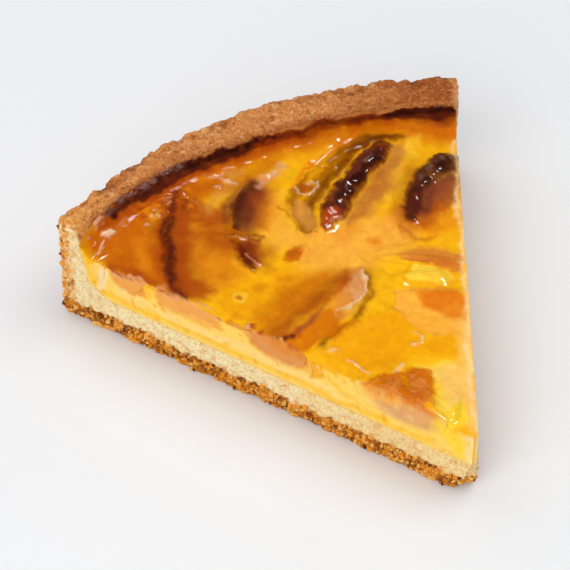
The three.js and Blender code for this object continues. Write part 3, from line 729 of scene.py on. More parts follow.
    stroke("pith", 0.5, 0.4, 0.8, [(-17.5, 41), (-15, 40.5)], lift=0.3),
    stroke("pith", 0.35, 0.4, 0.7, [(1.5, 32.4), (2.9, 31.9), (5.3, 33.5), (4.9, 35.3)], lift=0.6),
    # spots
    stroke("amber", 0.95, 2.3, 1.2, [(-8.6, 74), (-7.4, 74)]),
    stroke("rust", 0.5, 1.0, 1.6, [(-8.6, 74.6), (-7.6, 74.6)]),
    stroke("lemon", 0.6, 1.6, 1.0, [(-26.7, 67.3), (-26.5, 67.3)]),
    stroke("rust", 0.8, 0.8, 0.9, [(-26.7, 67.2), (-26.2, 67.2)]),
    dots("rust", 0.55, 1.3, 2.4, [(-22.3, 89.8), (-21.4, 99.3), (-17.7, 96.6), (-45.3, 87.5)]),
    dots("amber", 0.5, 1.4, 2.6, [(-28.2, 84.4), (-47.9, 96), (-26, 76), (-30, 62)]),
    stroke("amber", 0.5, 1.8, 3.0, [(-15, 67.5), (-13, 67.5)]),
    stroke("amber", 0.45, 1.6, 2.5, [(-21, 68), (-20.5, 68)]),
    stroke("orange", 0.7, 1.2, 2.5, [(11, 68), (12, 68)]),
    # thin pale edge along the right cut
    stroke("pale", 0.75, 1.6, 2.8, [(0.2, 2), (8, 17), (17, 33)], dull=0.7),
    stroke("cream", 0.85, 0.5, 1.8, [(0.5, 2), (28.7, 52.7), (50, 91.5)], mottle=0.25, dull=0.9),
]

# colours on the knife faces, with painted highlights on the apple edges and a painted lightening of the
# narrow tip face, as millimetres from the tip and up from the base
cutMarks = [
    stroke("butter", 0.9, 0.6, 2.0, [(12, 12.8), (30, 13), (40, 12.6), (55, 13), (70, 13.2), (84, 13),
           (95, 12.4), (107, 13)]),
    stroke("butter", 0.7, 0.9, 2.0, [(111, 25), (110.2, 19), (109.2, 14.5), (106, 12.8)]),
    stroke("cream", 0.45, 1.0, 2.6, [(30, 15.8), (50, 15), (70, 15.6), (90, 15.2), (102, 15.6)]),
    patch("slab", 0.9, 1.4, [(71, 19), (75, 17.8), (81, 17.6), (87, 17.2), (90.4, 17.6), (91, 20),
          (90, 22.6), (84, 23.4), (76, 23), (71.5, 21.6)]),
    stroke("pale", 0.5, 0.5, 1.2, [(74, 18.8), (80, 18.6), (88, 18.2)]),
    patch("slab", 0.95, 1.2, [(93.6, 18), (96.8, 16), (100.2, 16.4), (103.6, 17.6), (104.2, 20.4),
          (100.6, 21.8), (96.8, 22.2), (93.4, 21.8)]),
    stroke("rust", 0.95, 0.9, 1.2, [(69, 23.6), (75, 23.8), (82, 24.2), (90, 23.6), (96, 23.2),
           (103, 22.4)], mottle=0.3),
    # pink: painted highlights along the slab tops
    stroke("rose", 0.8, 0.4, 0.7, [(93.8, 22.2), (100, 21.6), (104, 20.8)], mottle=0.3),
    stroke("rose", 0.7, 0.4, 0.7, [(72, 22.6), (80, 22.8), (88, 22.4)], mottle=0.6),
    patch("butter", 0.8, 0.6, [(93.3, 22), (91.7, 21.6), (92.2, 17.3), (93.7, 17.4)]),
    stroke("honey", 0.7, 0.25, 0.6, [(89.8, 18.2), (88.9, 16.2)]),
    patch("cream", 0.95, 0.6, [(107, 21.7), (105.1, 22.3), (104.9, 19.4), (106, 14.4), (107.6, 12.9),
          (108.7, 13.9), (107.7, 17)]),
    patch("saffron", 0.9, 1.0, [(45.6, 24.4), (42.4, 25), (41.8, 22.2), (42.4, 17.9), (46, 15.9),
          (45.8, 20)]),
    stroke("amber", 0.6, 0.3, 0.8, [(45.9, 24), (45.7, 20), (45.9, 16.2)]),
    # painted glints on the drip
    dots("pith", 0.8, 0.5, 0.5, [(43.4, 20.8), (43.3, 19.1)]),
    patch("gold", 0.9, 2.2, [(64, 24.6), (60.2, 25.5), (54.5, 25.3), (47, 23.8), (46.4, 19.9), (47.4, 17.4),
          (53.6, 16.4), (59.3, 17.2), (63.1, 19)]),
    patch("beige", 0.6, 1.6, [(62, 21.6), (56, 21), (48, 20.4), (48, 18.4), (54, 17.4), (59, 18)],
          mottle=0.4),
    stroke("ember", 0.7, 0.5, 0.9, [(50, 23.9), (57, 24.2), (64, 24)], mottle=0.8),
    patch("beige", 0.6, 1.4, [(28.3, 17.1), (24.8, 19.4), (19.4, 21), (14, 21.6), (11.3, 21.4), (12, 18.4),
          (15.5, 15.2), (20.9, 15.5), (25.5, 15.2)]),
    patch("curd", 0.9, 1.4, [(36, 25), (28.4, 25), (29.6, 20.6), (27, 17.4), (30, 14.6), (36, 15)]),
    stroke("orange", 0.9, 1.0, 1.6, [(30, 23), (26, 23.9), (21, 24.1), (16, 23.2), (12, 22.2)], mottle=0.3),
    stroke("apple", 0.7, 1.2, 2.0, [(30, 20.6), (26.4, 20.4), (22, 21.8)]),
    stroke("gold", 0.8, 0.8, 1.2, [(27, 22.4), (22, 22.6), (16, 22)], mottle=0.9),
    stroke("butter", 0.7, 0.7, 1.4, [(40.4, 18.4), (34.8, 15.8), (28.2, 14.2), (24.5, 14)]),
    stroke("citron", 0.75, 2.6, 4.0, [(10, 20), (7, 17), (3, 13)]),
    stroke("cream", 0.4, 0.4, 1.0, [(16, 17), (22, 19.5)]),
    stroke("cream", 0.4, 0.4, 1.0, [(23, 16.2), (29, 19)]),
    # painted light: the narrow tip face lightened to cream against its shade
    stroke("cream", 0.85, 1.2, 2.6, [(2, 11), (2, 21)]),
]


# how a mark's edge wanders, as reach, size and seed, and how its colour breaks up
brush = {
    "wander": ((0.35, 0.9, 110), (0.55, 2.4, 114), (0.75, 5.5, 112)),
    "patchSize": 3.0, "patchy": 0.35, "mottleSize": 1.3,
}


def slanted(points):  # a point moved along the slant to the level of the filling
    raised = points[:, 2] - fill["markLevel"]
    return flat(*[points[:, axis] + raised * fill["slant"][axis] for axis in (0, 1)])


def alongCut(points):
    return flat(np.hypot(points[:, 0], points[:, 1]), points[:, 2])


def paintMarks(marks, spots, colour):
    wander = np.zeros_like(spots)
    for reach, size, seed in brush["wander"]:
        for axis in (0, 1):
            wander[:, axis] += reach * grain(spots, size, seed + axis)
    spots = spots + wander
    patchy, mottled = layers(spots, brush["patchSize"], 120), layers(spots, brush["mottleSize"], 123)
    skin = {name: np.zeros(len(spots)) for name in ("grit", "lift", "dull")}
    for mark in marks:
        line = np.array(mark["line"])
        margin = mark["reach"] + mark["soft"]
        near = np.all((spots[:, :2] > line.min(0) - margin) & (spots[:, :2] < line.max(0) + margin), axis=1)
        away = markDistance(mark, spots[near]) - mark["reach"]
        share = 1 - step(away, -mark["soft"] / 2, mark["soft"] / 2)
        skin["lift"][near] += mark.get("lift", 0.0) * share
        for name in ("dull", "grit"):
            skin[name][near] = mix(skin[name][near], mark.get(name, 0.0), share)
        broken = mark.get("mottle", 0.0) * (2.2 * mottled[near] - 0.5)
        share = share * np.clip(1 + brush["patchy"] * patchy[near] + broken, 0, 1)
        colour[near] = tint(colour[near], palette[mark["look"]], mark["share"] * share)
    return colour, skin


def paintTop(points):
    colour = np.tile(palette["yolk"], (len(points), 1))
    colour, skin = paintMarks(topMarks + rimMarks, slanted(points), colour)
    shade = 0.16 * layers(points, 6.0, 73) + 0.08 * grain(points, 1.2, 74)
    return colour * (1 - shade[:, None] * np.array([0.4, 1.0, 1.6])), skin  # the browner, the redder


def gritLift(points, grit):  # blistered burnt crust, finer where it is only browned
    beads = ((1.5, 101), (0.7, 105))  # sizes and seeds
    coarse, fine = [np.clip(1 - lumps(points, size, seed)[0] ** 2, -0.3, 1) for size, seed in beads]
    blister = step(grit, 0.6, 1.0) * (0.3 * coarse + 0.35 * layers(points, 2.2, 103) - 0.1)
    return blister + grit * (0.16 * fine - 0.06)


print("shapes ready")

# the pastry shell
pastry = {
    "cream": srgb(255, 240, 190), "ivory": srgb(254, 220, 154), "straw": srgb(252, 204, 112),
    "gold": srgb(236, 164, 76), "tan": srgb(200, 122, 56), "brown": srgb(150, 78, 18),
    "dark": srgb(92, 42, 8), "sand": srgb(230, 160, 90), "toasted": srgb(244, 160, 42),
    "buttery": srgb(252, 204, 118), "soaked": srgb(252, 204, 110), "rightRim": srgb(158, 78, 4),
    "dusting": srgb(255, 226, 190), "grime": srgb(214, 166, 116),
}
pastryGrain = {"rough": 3.0, "coarse": 2.2, "fine": 0.8, "pits": 1.5, "crimp": 3.4, "pores": 0.95}


def shellPoint(along, through, angle):  # along the profile, through its thickness, round the tart
    along, through, angle = np.broadcast_arrays(along, through, angle)
    knee = shell["floorSteps"] / (shell["floorSteps"] + shell["wallSteps"])
    onFloor = np.clip(along / knee, 0, 1)
    onWall = np.clip((along - knee) / (1 - knee), 0, 1)
    isFloor = along <= knee
    tip = mix(cut["brokenTip"], cut["tip"], through ** cut["tipSlant"])
    innerHeight = mix(shell["floor"], shell["rimHeight"], onWall)
    innerFloor = mix(tip, wallInside(shell["floor"], angle), onFloor)
    inner = np.where(isFloor, innerFloor, wallInside(innerHeight, angle))
    outer = np.where(isFloor, mix(tip, cut["radius"] - shell["footRounding"], onFloor), cut["radius"])
    outerHeight = onWall * shell["rimHeight"]
    rounding = shell["footRounding"] * np.clip(1 - outerHeight / shell["footHeight"], 0, 1) ** 2
    share = angle / (2 * cut["halfAngle"]) + 0.5
    spots = np.stack([share * shell["flutes"] * 0.6, 0 * share + 3.5, outerHeight * 0.03], axis=-1)
    drift = grain(spots.reshape(-1, 3), 1.0, 5).reshape(share.shape)
    wave = np.sqrt(np.sin(np.pi * shell["flutes"] * share + shell["fluteDrift"] * drift) ** 2 + 0.03)
    flute = shell["fluteDepth"] * (1 - wave) * step(outerHeight, 0, 4)
    outer = outer - np.where(isFloor, 0, rounding) - np.where(isFloor, 0, flute)
    radius = mix(outer, inner, through)
    broken = cut["tipLift"] * np.clip(1 - radius / cut["tipRun"], 0, 1) ** 2
    bottom, top = np.where(isFloor, broken, outerHeight), np.where(isFloor, shell["floor"], innerHeight)
    crown = shell["crown"] * (1 - (2 * through - 1) ** 2) + shell["tilt"] * (shell["tiltCentre"] - through)
    return onTart(radius, angle, mix(bottom, top, through) + onWall ** 8 * crown)


def makeShell():
    half = cut["halfAngle"]
    along = np.linspace(0, 1, shell["floorSteps"] + shell["wallSteps"] + 1)
    floor, wall = along[:shell["floorSteps"] + 1], along[shell["floorSteps"]:]
    through = np.linspace(0, 1, shell["throughSteps"] + 1)
    around = np.linspace(-half, half, shell["arcSteps"] + 1)
    tipAround = np.linspace(-half, half, shell["tipSteps"] + 1)
    sheets = Sheets()
    for side in (-half, half):
        sheets.grid(shellPoint(*spread(along, through), side))
    for side in (0.0, 1.0):
        profile, angle = spread(wall, around)
        sheets.grid(shellPoint(profile, side, angle))
        left, right = shellPoint(floor, side, -half), shellPoint(floor, side, half)
        sheets.grid(np.stack([left[1:], right[1:]], axis=1))  # the hidden floor needs only its edges
        sheets.loop(np.concatenate([left[1:2], shellPoint(0.0, side, tipAround), right[1:2]]))
        sheets.loop(shellPoint(wall[0], side, around))
    sheets.grid(shellPoint(1.0, *spread(through, around)))
    sheets.grid(shellPoint(0.0, *spread(through, tipAround)))
    return sheets.mesh("crust")


def dressShell(mesh):
    points, normals = pointsOf(mesh), normalsOf(mesh)
    depth, onLeft = cutDepth(points)
    radius, height = np.hypot(points[:, 0], points[:, 1]), points[:, 2]
    angle = np.arctan2(points[:, 0], points[:, 1])
    innerWall = wallInside(height, angle)
    atCut = np.maximum(bell(depth, 0.7), 1 - step(radius, 4.0, 7.5))
    nearTip = step(radius, 1.0, 4.0)
    rough = layers(points, pastryGrain["rough"], 11)
    outerEdge = cut["radius"] + 0.9 * rough
    brownTop = shell["brownLayer"] + 0.8 * grain(points, 7.0, 12) + 0.6 * grain(points, 2.2, 13)
    brownTop = brownTop + 0.7 * grain(points, 0.9, 14)
    brown = 1 - step(height, brownTop - 0.45, brownTop + 0.45)
    brownWall = step(radius, outerEdge - 4.6, outerEdge - 1.4) * (1 - 0.3 * step(height, 26, 30))
    coarse, coarseTone = lumps(points, pastryGrain["coarse"], 21)
    fine, fineTone = lumps(points, pastryGrain["fine"], 25)
    bump, smallBump = [np.clip(1 - (crumb / 0.75) ** 2, -0.6, 1) for crumb in (coarse, fine)]
    brownLift = 0.5 * bump + 0.35 * smallBump + 0.5 * rough - 0.55
    pit = step(grain(points, pastryGrain["pits"], 41), 0.5, 0.8)
    underFill = step(innerWall - radius, 0.3, 1.8) * step(height, shell["floor"] - 1.0, shell["floor"])
    paleLift = 0.26 * smallBump + 0.34 * layers(points, 1.6, 15) + 0.15 * rough
    paleLift = (paleLift - 0.5 * pit) * (1 - underFill)
    cutLift = mix(paleLift, brownLift, np.maximum(brown, 0.35 * brownWall))
    crimp, crimpTone = lumps(points, pastryGrain["crimp"], 57)
    edge = step(radius, cut["radius"] - 4.5, cut["radius"] - 1.5)
    pore = step(grain(points, pastryGrain["pores"], 53), 0.5, 0.8)
    rimLift = 0.2 * smallBump + 0.4 * layers(points, 2.0, 51) + 0.35 * grain(points, 6.0, 52)
    rimLift = rimLift - 0.35 * pore + 0.6 * edge * np.clip(1 - (crimp / 0.7) ** 2, -0.8, 1)
    onRim = step(radius, innerWall - 0.3, innerWall + 0.3) * (1 - atCut)
    shown = np.maximum(atCut, onRim * step(height, 0.5, 3))
    lift = mix(rimLift, cutLift, atCut) * shown * mix(0.25, 1.0, nearTip)
    lift = lift + 0.5 * atCut * ~onLeft * nearTip
    points = points + normals * lift[:, None]
    points[:, 2] = np.maximum(points[:, 2], 0.0)
    movePoints(mesh, points)

    # colours of the knife faces
    crumbTone = np.clip(0.62 * coarseTone + 0.3 * fineTone + 0.15 * rough, 0, 1)
    crumbColour = tint(pastry["brown"], pastry["toasted"], crumbTone)
    # dark between the crumbs: painted shade in the hollows
    crumbColour = tint(crumbColour, pastry["dark"], step(0.25 - brownLift, 0.3, 0.95))
    nearBrown = 1 - step(height, brownTop, brownTop + 3.5)
    # the pits take some gold as painted shade; the rest are golden flecks
    fleck = np.maximum(0.2 * pit, 0.5 * step(layers(points, 1.1, 43) + 0.16 * nearBrown, 0.15, 0.6))
    nearSkin = step(radius, outerEdge - 6.0, outerEdge - 1.4)
    toasted = np.clip(nearSkin * (0.9 + 1.4 * grain(points, 0.8, 44)), 0, 1)
    section = tint(pastry["ivory"], pastry["cream"], np.clip(0.75 + 0.45 * layers(points, 2.6, 17), 0, 1))
    for look, share in (
            ("gold", fleck),
            # gold in the low spots of the pale crumb: painted shade
            ("gold", 0.4 * step(-0.05 - paleLift, 0.05, 0.4)),
            ("buttery", 0.45 * (1 - step(radius, 20, 70))),
            ("toasted", 0.85 * toasted),
            ("brown", 0.8 * nearSkin * step(grain(points, 1.0, 45), 0.25, 0.6)),
            ("soaked", 0.85 * underFill),
            ("tan", 0.8 * ~onLeft * step(height, 18, 27))):
        section = tint(section, pastry[look], share)
    section = tint(section, crumbColour, brown)

    # colours of the rim
    turn = angle / cut["halfAngle"]
    toRight, toLeft = step(turn, 0.25, 1.0), 1 - step(turn, -1.0, -0.65)
    inner = 1 - step(radius, innerWall + 0.2, innerWall + 1.4)
    skin = tint(pastry["tan"], pastry["sand"], np.clip(0.42 + 0.5 * layers(points, 4.0, 61), 0, 1))
    for look, share in (
            ("rightRim", 0.95 * toRight),
            ("gold", 0.85 * toLeft),
            # brown between the crimp lumps: painted shade
            ("brown", 0.6 * edge * step(crimp, 0.5, 0.8)),
            # ivory on some lump crowns: painted highlight
            ("ivory", 0.4 * edge * (1 - step(crimp, 0.15, 0.4)) * step(crimpTone, 0.4, 0.8)),
            ("ivory", 0.3 * (1 - 0.7 * toRight) * step(grain(points, 0.9, 56), 0.45, 0.8)),
            # brown in the pores and the low spots: painted shade
            ("brown", 0.6 * pore),
            ("brown", 0.45 * step(0.05 - rimLift, 0.1, 0.4)),
            ("brown", 0.5 * inner * (1 - toLeft))):
        skin = tint(skin, pastry[look], share)
    burnt = paintMarks(rimMarks, slanted(points), skin.copy())[0]
    skin = tint(skin, burnt, 1 - step(radius, innerWall, innerWall + 0.8))
    keepColour(mesh, "bake", tint(skin, section, atCut))
    crumbly = np.maximum(brown, 0.4 * step(radius, cut["radius"] - 4, cut["radius"] - 1))
    keepValue(mesh, "crumbBed", atCut * crumbly * nearTip)
    keepValue(mesh, "sandy", mix(1.0, 0.75, atCut))
    return mesh


def pastryFinish():
    finish = Finish("bakedPastry")
    bake, sandy = finish.colour("bake"), finish.value("sandy")
    speck, patches = finish.noise(0.7, 4.0, 0.8), finish.noise(3.2, 4.0, 0.6)
    pale = finish.blend(1.0, bake, pastry["dusting"], "SCREEN")
    dark = finish.blend(1.0, bake, pastry["grime"], "MULTIPLY")
    colour = finish.blend(finish.band(speck, 0.52, 0.68, 0.0, 0.25) * sandy, bake, pale)
    colour = finish.blend(0.9 * (1 - finish.band(speck, 0.34, 0.52)) * sandy, colour, dark)
    colour = finish.blend(finish.band(patches, 0.48, 0.72, 0.0, 0.4) * sandy, colour, dark)
    crumb = finish.relief(finish.noise(1.3, 4.0, 0.7), 0.6)
    return finish.surface({
        "Base Color": colour, "Roughness": finish.band(speck, 0.3, 0.7, 0.95, 0.7),
        "Normal": finish.relief(speck, 0.16, crumb), "Specular IOR Level": 0.25, "Subsurface Weight": 0.06,
        "Subsurface Radius": (1.0, 0.5, 0.25), "Subsurface Scale": 0.0012})


pastryMaterial = pastryFinish()
crustMesh = dressShell(makeShell())
crust = place("crust_shell", crustMesh, pastryMaterial)
crustMesh.set_sharp_from_angle(angle=shell["sharpFrom"])
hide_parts("crust")
print("pastry shell", len(crustMesh.polygons), "faces")

# loose crumbs along the toasted foot of both cuts
crumbs = {
    "Density": 1.6e6, "Small": 0.0002, "Large": 0.0008, "Lumpiness": 0.6, "Seed": 4,  # in metres
    "corners": 42, "push": 4.0, "rarity": 2.6, "fullTurn": 6.28,
}


def crumbTree():
    tree = bpy.data.node_groups.new("crumbScatter", "GeometryNodeTree")
    kinds = {"Geometry": "Geometry", "Density": "Float", "Small": "Float", "Large": "Float",
             "Lumpiness": "Float", "Seed": "Int", "Material": "Material"}
    for name, kind in kinds.items():
        tree.interface.new_socket(name, in_out="INPUT", socket_type="NodeSocket" + kind)
    tree.interface.new_socket("Geometry", in_out="OUTPUT", socket_type="NodeSocketGeometry")
    given = tree.nodes.new("NodeGroupInput").outputs

    def add(kind, settings, inputs):
        node = tree.nodes.new(kind)
        for name, value in settings.items():
            setattr(node, name, value)
        for name, value in inputs.items():
            if isinstance(value, bpy.types.NodeSocket):
                tree.links.new(value, node.inputs[name])
            else:
                node.inputs[name].default_value = value
        return node.outputs

    bed = add("GeometryNodeInputNamedAttribute", {"data_type": "FLOAT"}, {"Name": "crumbBed"})
    density = add("ShaderNodeMath", {"operation": "MULTIPLY"}, {0: bed["Attribute"], 1: given["Density"]})
    points = add("GeometryNodeDistributePointsOnFaces", {"distribute_method": "RANDOM"},
                 {"Mesh": given["Geometry"], "Density": density[0], "Seed": given["Seed"]})
    ball = add("GeometryNodeMeshIcoSphere", {}, {"Radius": 1.0, "Subdivisions": 2})
    bumps = add("ShaderNodeTexNoise", {"noise_dimensions": "3D"}, {"Scale": 1.1, "Detail": 2.0})
    away = add("ShaderNodeVectorMath", {"operation": "SUBTRACT"}, {0: bumps["Color"], 1: (0.5, 0.5, 0.5)})
    push = add("ShaderNodeVectorMath", {"operation": "SCALE"}, {0: away[0], "Scale": given["Lumpiness"]})
    wide = add("ShaderNodeVectorMath", {"operation": "SCALE"}, {0: push[0], "Scale": crumbs["push"]})
    lump = add("GeometryNodeSetPosition", {}, {"Geometry": ball["Mesh"], "Offset": wide[0]})
    turn = add("FunctionNodeRandomValue", {"data_type": "FLOAT_VECTOR"},
               {"Max": (crumbs["fullTurn"],) * 3, "Seed": given["Seed"]})
    chance = add("FunctionNodeRandomValue", {"data_type": "FLOAT"}, {"Seed": given["Seed"]})
    rare = add("ShaderNodeMath", {"operation": "POWER"}, {0: chance[1], 1: crumbs["rarity"]})
    size = add("ShaderNodeMapRange", {},
               {"Value": rare[0], "To Min": given["Small"], "To Max": given["Large"]})
    shape = add("FunctionNodeRandomValue", {"data_type": "FLOAT_VECTOR"},
                {0: (0.7, 0.7, 0.5), 1: (1.4, 1.1, 1.0), "Seed": 9})
    scale = add("ShaderNodeVectorMath", {"operation": "SCALE"}, {0: shape[0], "Scale": size[0]})
    bits = add("GeometryNodeInstanceOnPoints", {},
               {"Points": points["Points"], "Instance": lump["Geometry"],
                "Rotation": turn[0], "Scale": scale[0]})
    tone = add("FunctionNodeRandomValue", {"data_type": "FLOAT"}, {"Seed": 21})
    toned = add("GeometryNodeStoreNamedAttribute", {"data_type": "FLOAT", "domain": "INSTANCE"},
                {"Geometry": bits["Instances"], "Name": "crumbTone", "Value": tone[1]})
    real = add("GeometryNodeRealizeInstances", {}, {"Geometry": toned["Geometry"]})
    done = add("GeometryNodeSetMaterial", {}, {"Geometry": real["Geometry"], "Material": given["Material"]})
    out = tree.nodes.new("NodeGroupOutput")
    tree.links.new(done["Geometry"], out.inputs["Geometry"])
    return tree


def crumbFinish():
    finish = Finish("toastedCrumb")
    tone = finish.value("crumbTone")
    colour = finish.blend(finish.band(tone, 0.0, 0.09), pastry["dark"], pastry["brown"])
    colour = finish.blend(finish.band(tone, 0.1, 0.4), colour, pastry["toasted"])
    colour = finish.blend(finish.band(tone, 0.45, 0.9, 0.0, 0.85), colour, pastry["straw"])
    speck = finish.noise(0.4, 3.0, 0.6)
    colour = finish.blend(finish.band(speck, 0.3, 0.6, 0.4, 0.0), colour, pastry["brown"])
    return finish.surface({
        "Base Color": colour, "Roughness": finish.band(speck, 0.3, 0.7, 0.9, 0.65),
        "Normal": finish.relief(speck, 0.12), "Specular IOR Level": 0.3})


def scatterCrumbs(ground, material):
    bed = bpy.data.objects.new("crumb_bed", ground.data.copy())
    bpy.context.scene.collection.objects.link(bed)
    tree = crumbTree()
    scatter = bed.modifiers.new("scatter", "NODES")
    scatter.node_group = tree
    wanted = {**crumbs, "Material": material}
    for socket in tree.interface.items_tree:
        if socket.in_out == "INPUT" and socket.name in wanted:
            scatter[socket.identifier] = wanted[socket.name]
    mesh = bpy.data.meshes.new_from_object(bed.evaluated_get(bpy.context.evaluated_depsgraph_get()))
    bpy.data.objects.remove(bed)
    bits = pointsOf(mesh).reshape(-1, crumbs["corners"], 3)
    bits[:, :, 2] += np.maximum(0, -bits[:, :, 2].min(axis=1))[:, None]  # none dips below the base
    movePoints(mesh, bits)
    piece = bpy.data.objects.new("crumb_bits", mesh)
    bpy.context.scene.collection.objects.link(piece)
    return piece


crumbBits = scatterCrumbs(crust, crumbFinish())
print("crumbs", len(crumbBits.data.polygons), "faces")


# the custard
def makeFilling():
    half = cut["halfAngle"]
    reach = np.concatenate([np.linspace(0, fill["climbFrom"], fill["reachSteps"], endpoint=False),
                            np.linspace(fill["climbFrom"], 1, fill["climbSteps"] + 1)])
    around = np.linspace(-half, half, fill["arcSteps"] + 1)
    up = np.linspace(0, 1, fill["depthSteps"] + 1)

    def fillPoint(share, angle, lift):
        share, angle, lift = np.broadcast_arrays(share, angle, lift)
        topRadius = mix(cut["tip"], wallInside(lipHeight(angle), angle), share).ravel()
        turn = angle.ravel()
        top = fillTop(topRadius * np.sin(turn), topRadius * np.cos(turn)).reshape(share.shape)
        height = mix(shell["floor"] - 0.05, top, lift)
        return onTart(mix(cut["tip"], wallInside(height, angle) + 0.12, share), angle, height)

    sheets = Sheets()
    sheets.grid(fillPoint(*spread(reach, around), 1.0))
    for side in (-half, half):
        share, lift = spread(reach, up)
        sheets.grid(fillPoint(share, side, lift))
    for end in (0.0, 1.0):
        lift, angle = spread(up, around)
        sheets.grid(fillPoint(end, angle, lift))
    left, right = fillPoint(reach, -half, 0.0), fillPoint(reach, half, 0.0)
    sheets.grid(np.stack([left[1:], right[1:]], axis=1))
    sheets.loop(fillPoint(1.0, around, 0.0))
    sheets.loop(np.concatenate([left[1:2], fillPoint(0.0, around, 0.0), right[1:2]]))
    return sheets.mesh("custard", 0.0005)


def dressFilling(mesh):
    points, normals = pointsOf(mesh), normalsOf(mesh)
    depth, onLeft = cutDepth(points)
    radius = np.hypot(points[:, 0], points[:, 1])
    top = fillTop(points[:, 0], points[:, 1])
    onTop = step(points[:, 2] - top, -0.5, -0.1)
    face = bell(depth, 0.45) * (1 - onTop)
    hidden = step(inWedge(points) + 0.07 * grain(points, 1.8, 85), 0.0, 0.06)
    free = step(radius, 2, 6) * step(points[:, 2], shell["floor"], shell["floor"] + 1.2)
    lift = face * (0.16 * layers(points, 3.0, 81) - 0.55 * hidden) * free
    lift = lift - 0.35 * face * step(grain(points, 1.1, 83), 0.55, 0.8) * free
    baked, skin = paintTop(points)
    fromCut = np.where(onLeft, mix(0.5, 1.0, step(depth, 0, 1)), step(depth, 0.3, 2))
    raised = (gritLift(points, skin["grit"]) + skin["lift"]) * fromCut
    lift = lift + onTop * (0.04 * grain(points, 1.4, 84) + raised)
    points = points + normals * lift[:, None]
    movePoints(mesh, points)
    under = points[:, 2] - top
    inside = tint(palette["curd"], palette["yolk"], 0.55 * step(under, -3.0, -0.4))
    inside = paintMarks(cutMarks, alongCut(points), inside)[0]
    # saffron in the small pits of the cut: painted shade
    inside = tint(inside, palette["saffron"], 0.5 * step(grain(points, 1.1, 83), 0.55, 0.8))
    cover = np.max([wedgeTop(wedge, points[:, 0], points[:, 1])[0] for wedge in wedges.values()], axis=0)
    inside = tint(inside, baked, 0.9 * step(cover - top, -2.0, -1.2) * step(under, -1.5, -0.9))
    keepColour(mesh, "paint", tint(baked, inside, face))
    wall = wallInside(points[:, 2], np.arctan2(points[:, 0], points[:, 1]))
    keepValue(mesh, "glaze", (1 - face) * (1 - skin["dull"]) * (1 - 0.7 * step(radius, wall - 5.0, wall)))
    keepValue(mesh, "grit", skin["grit"] * (1 - face))
    return mesh


glazing = {"mottleSize": 2.4, "fleckSize": 0.7, "coat": 0.95, "coatRoughness": 0.06, "scatter": 0.25}


def glazedFinish(name, ripple):
    finish = Finish(name)
    mottle = finish.noise(glazing["mottleSize"], 4.0, 0.6)
    fleck = finish.noise(glazing["fleckSize"], 3.0, 0.6)
    glaze, grit = finish.value("glaze"), finish.value("grit")
    painted = finish.colour("paint")
    deep = finish.blend(0.5, painted, palette["amber"], "MULTIPLY")
    colour = finish.blend(finish.band(mottle, 0.35, 0.65, 0.0, 0.16), painted, deep)
    skin = finish.relief(mottle, 0.03)
    return finish.surface({
        "Base Color": colour, "Roughness": finish.band(glaze, 0.0, 1.0, 0.6, 0.4) + 0.15 * fleck,
        "Normal": finish.relief(fleck * (1.0 + 3.0 * grit), ripple, skin), "Specular IOR Level": 0.04,
        "Coat Weight": glazing["coat"] * glaze, "Coat Roughness": glazing["coatRoughness"], "Coat IOR": 1.45,
        "Subsurface Weight": glazing["scatter"], "Subsurface Radius": (1.0, 0.45, 0.12),
        "Subsurface Scale": 0.0012})


custardMaterial = glazedFinish("glazedCustard", 0.012)
fillMesh = dressFilling(makeFilling())
custard = place("custard_fill", fillMesh, custardMaterial)
fillMesh.set_sharp_from_angle(angle=fill["sharpFrom"])
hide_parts("custard")
print("custard", len(fillMesh.polygons), "faces")

# the apple wedges
appleMaterial = glazedFinish("glazedApple", 0.02)


def makeWedge(name, wedge):
    middle, way, rightward, halfLength = wedgeFrame(wedge)
    fall, turn = spread(np.linspace(0, np.pi, wedgeMesh["along"] + 1),
                        np.linspace(0, 2 * np.pi, wedgeMesh["around"] + 1) + np.pi / 2)
    along, across, upright = -np.cos(fall), np.cos(turn), np.sin(turn)
    girth = np.clip(1 - along ** 2, 0, 1) ** wedgeMesh["blunt"]
    aside = across * girth * np.where(across > 0, wedge["right"], wedge["left"])
    ridge = wedge["rise"] * (1 - np.abs(along) ** wedgeMesh["fall"])
    curve = np.where(across > 0, wedge["curve"][1], wedge["curve"][0])
    above = ridge * (1 - np.abs(across)) ** curve
    below = -wedge["depth"] * girth * np.abs(upright)
    height = fill["level"] + np.where(upright > 0, above, below)
    over = aside - wedge["bow"] * (1 - along ** 2)
    x, y = [middle[axis] + way[axis] * along * halfLength + rightward[axis] * over for axis in (0, 1)]
    points = np.stack([x, y, height], axis=-1)
    uneven = step(-upright, 0.05, 0.5) * girth * layers(points.reshape(-1, 3), 6.0, 97).reshape(x.shape)
    sheets = Sheets()
    sheets.grid(points + wedgeMesh["uneven"] * uneven[..., None] * np.array([way[0], way[1], 0.8]))
    return sheets.mesh(name, 0.0005)


def trimWedge(mesh):  # the knife takes off what stands past either cut
    sine, cosine = math.sin(cut["halfAngle"]), math.cos(cut["halfAngle"])
    work = bmesh.new()
    work.from_mesh(mesh)
    for normal in ((cosine, -sine, 0), (-cosine, -sine, 0)):
        everything = work.verts[:] + work.edges[:] + work.faces[:]
        bmesh.ops.bisect_plane(work, geom=everything, plane_co=(0, 0, 0), plane_no=normal, clear_outer=True)
        loose = [edge for edge in work.edges if edge.is_boundary]
        if loose:
            section = bmesh.ops.holes_fill(work, edges=loose, sides=0)["faces"]
            parts = bmesh.ops.triangulate(work, faces=section)["faces"]
            inner = [edge for edge in {edge for part in parts for edge in part.edges}
                     if all(face in parts for face in edge.link_faces)]
            bmesh.ops.subdivide_edges(work, edges=inner, cuts=wedgeMesh["cuts"], use_grid_fill=True)
    bmesh.ops.recalc_face_normals(work, faces=work.faces)
    work.to_mesh(mesh)
    work.free()


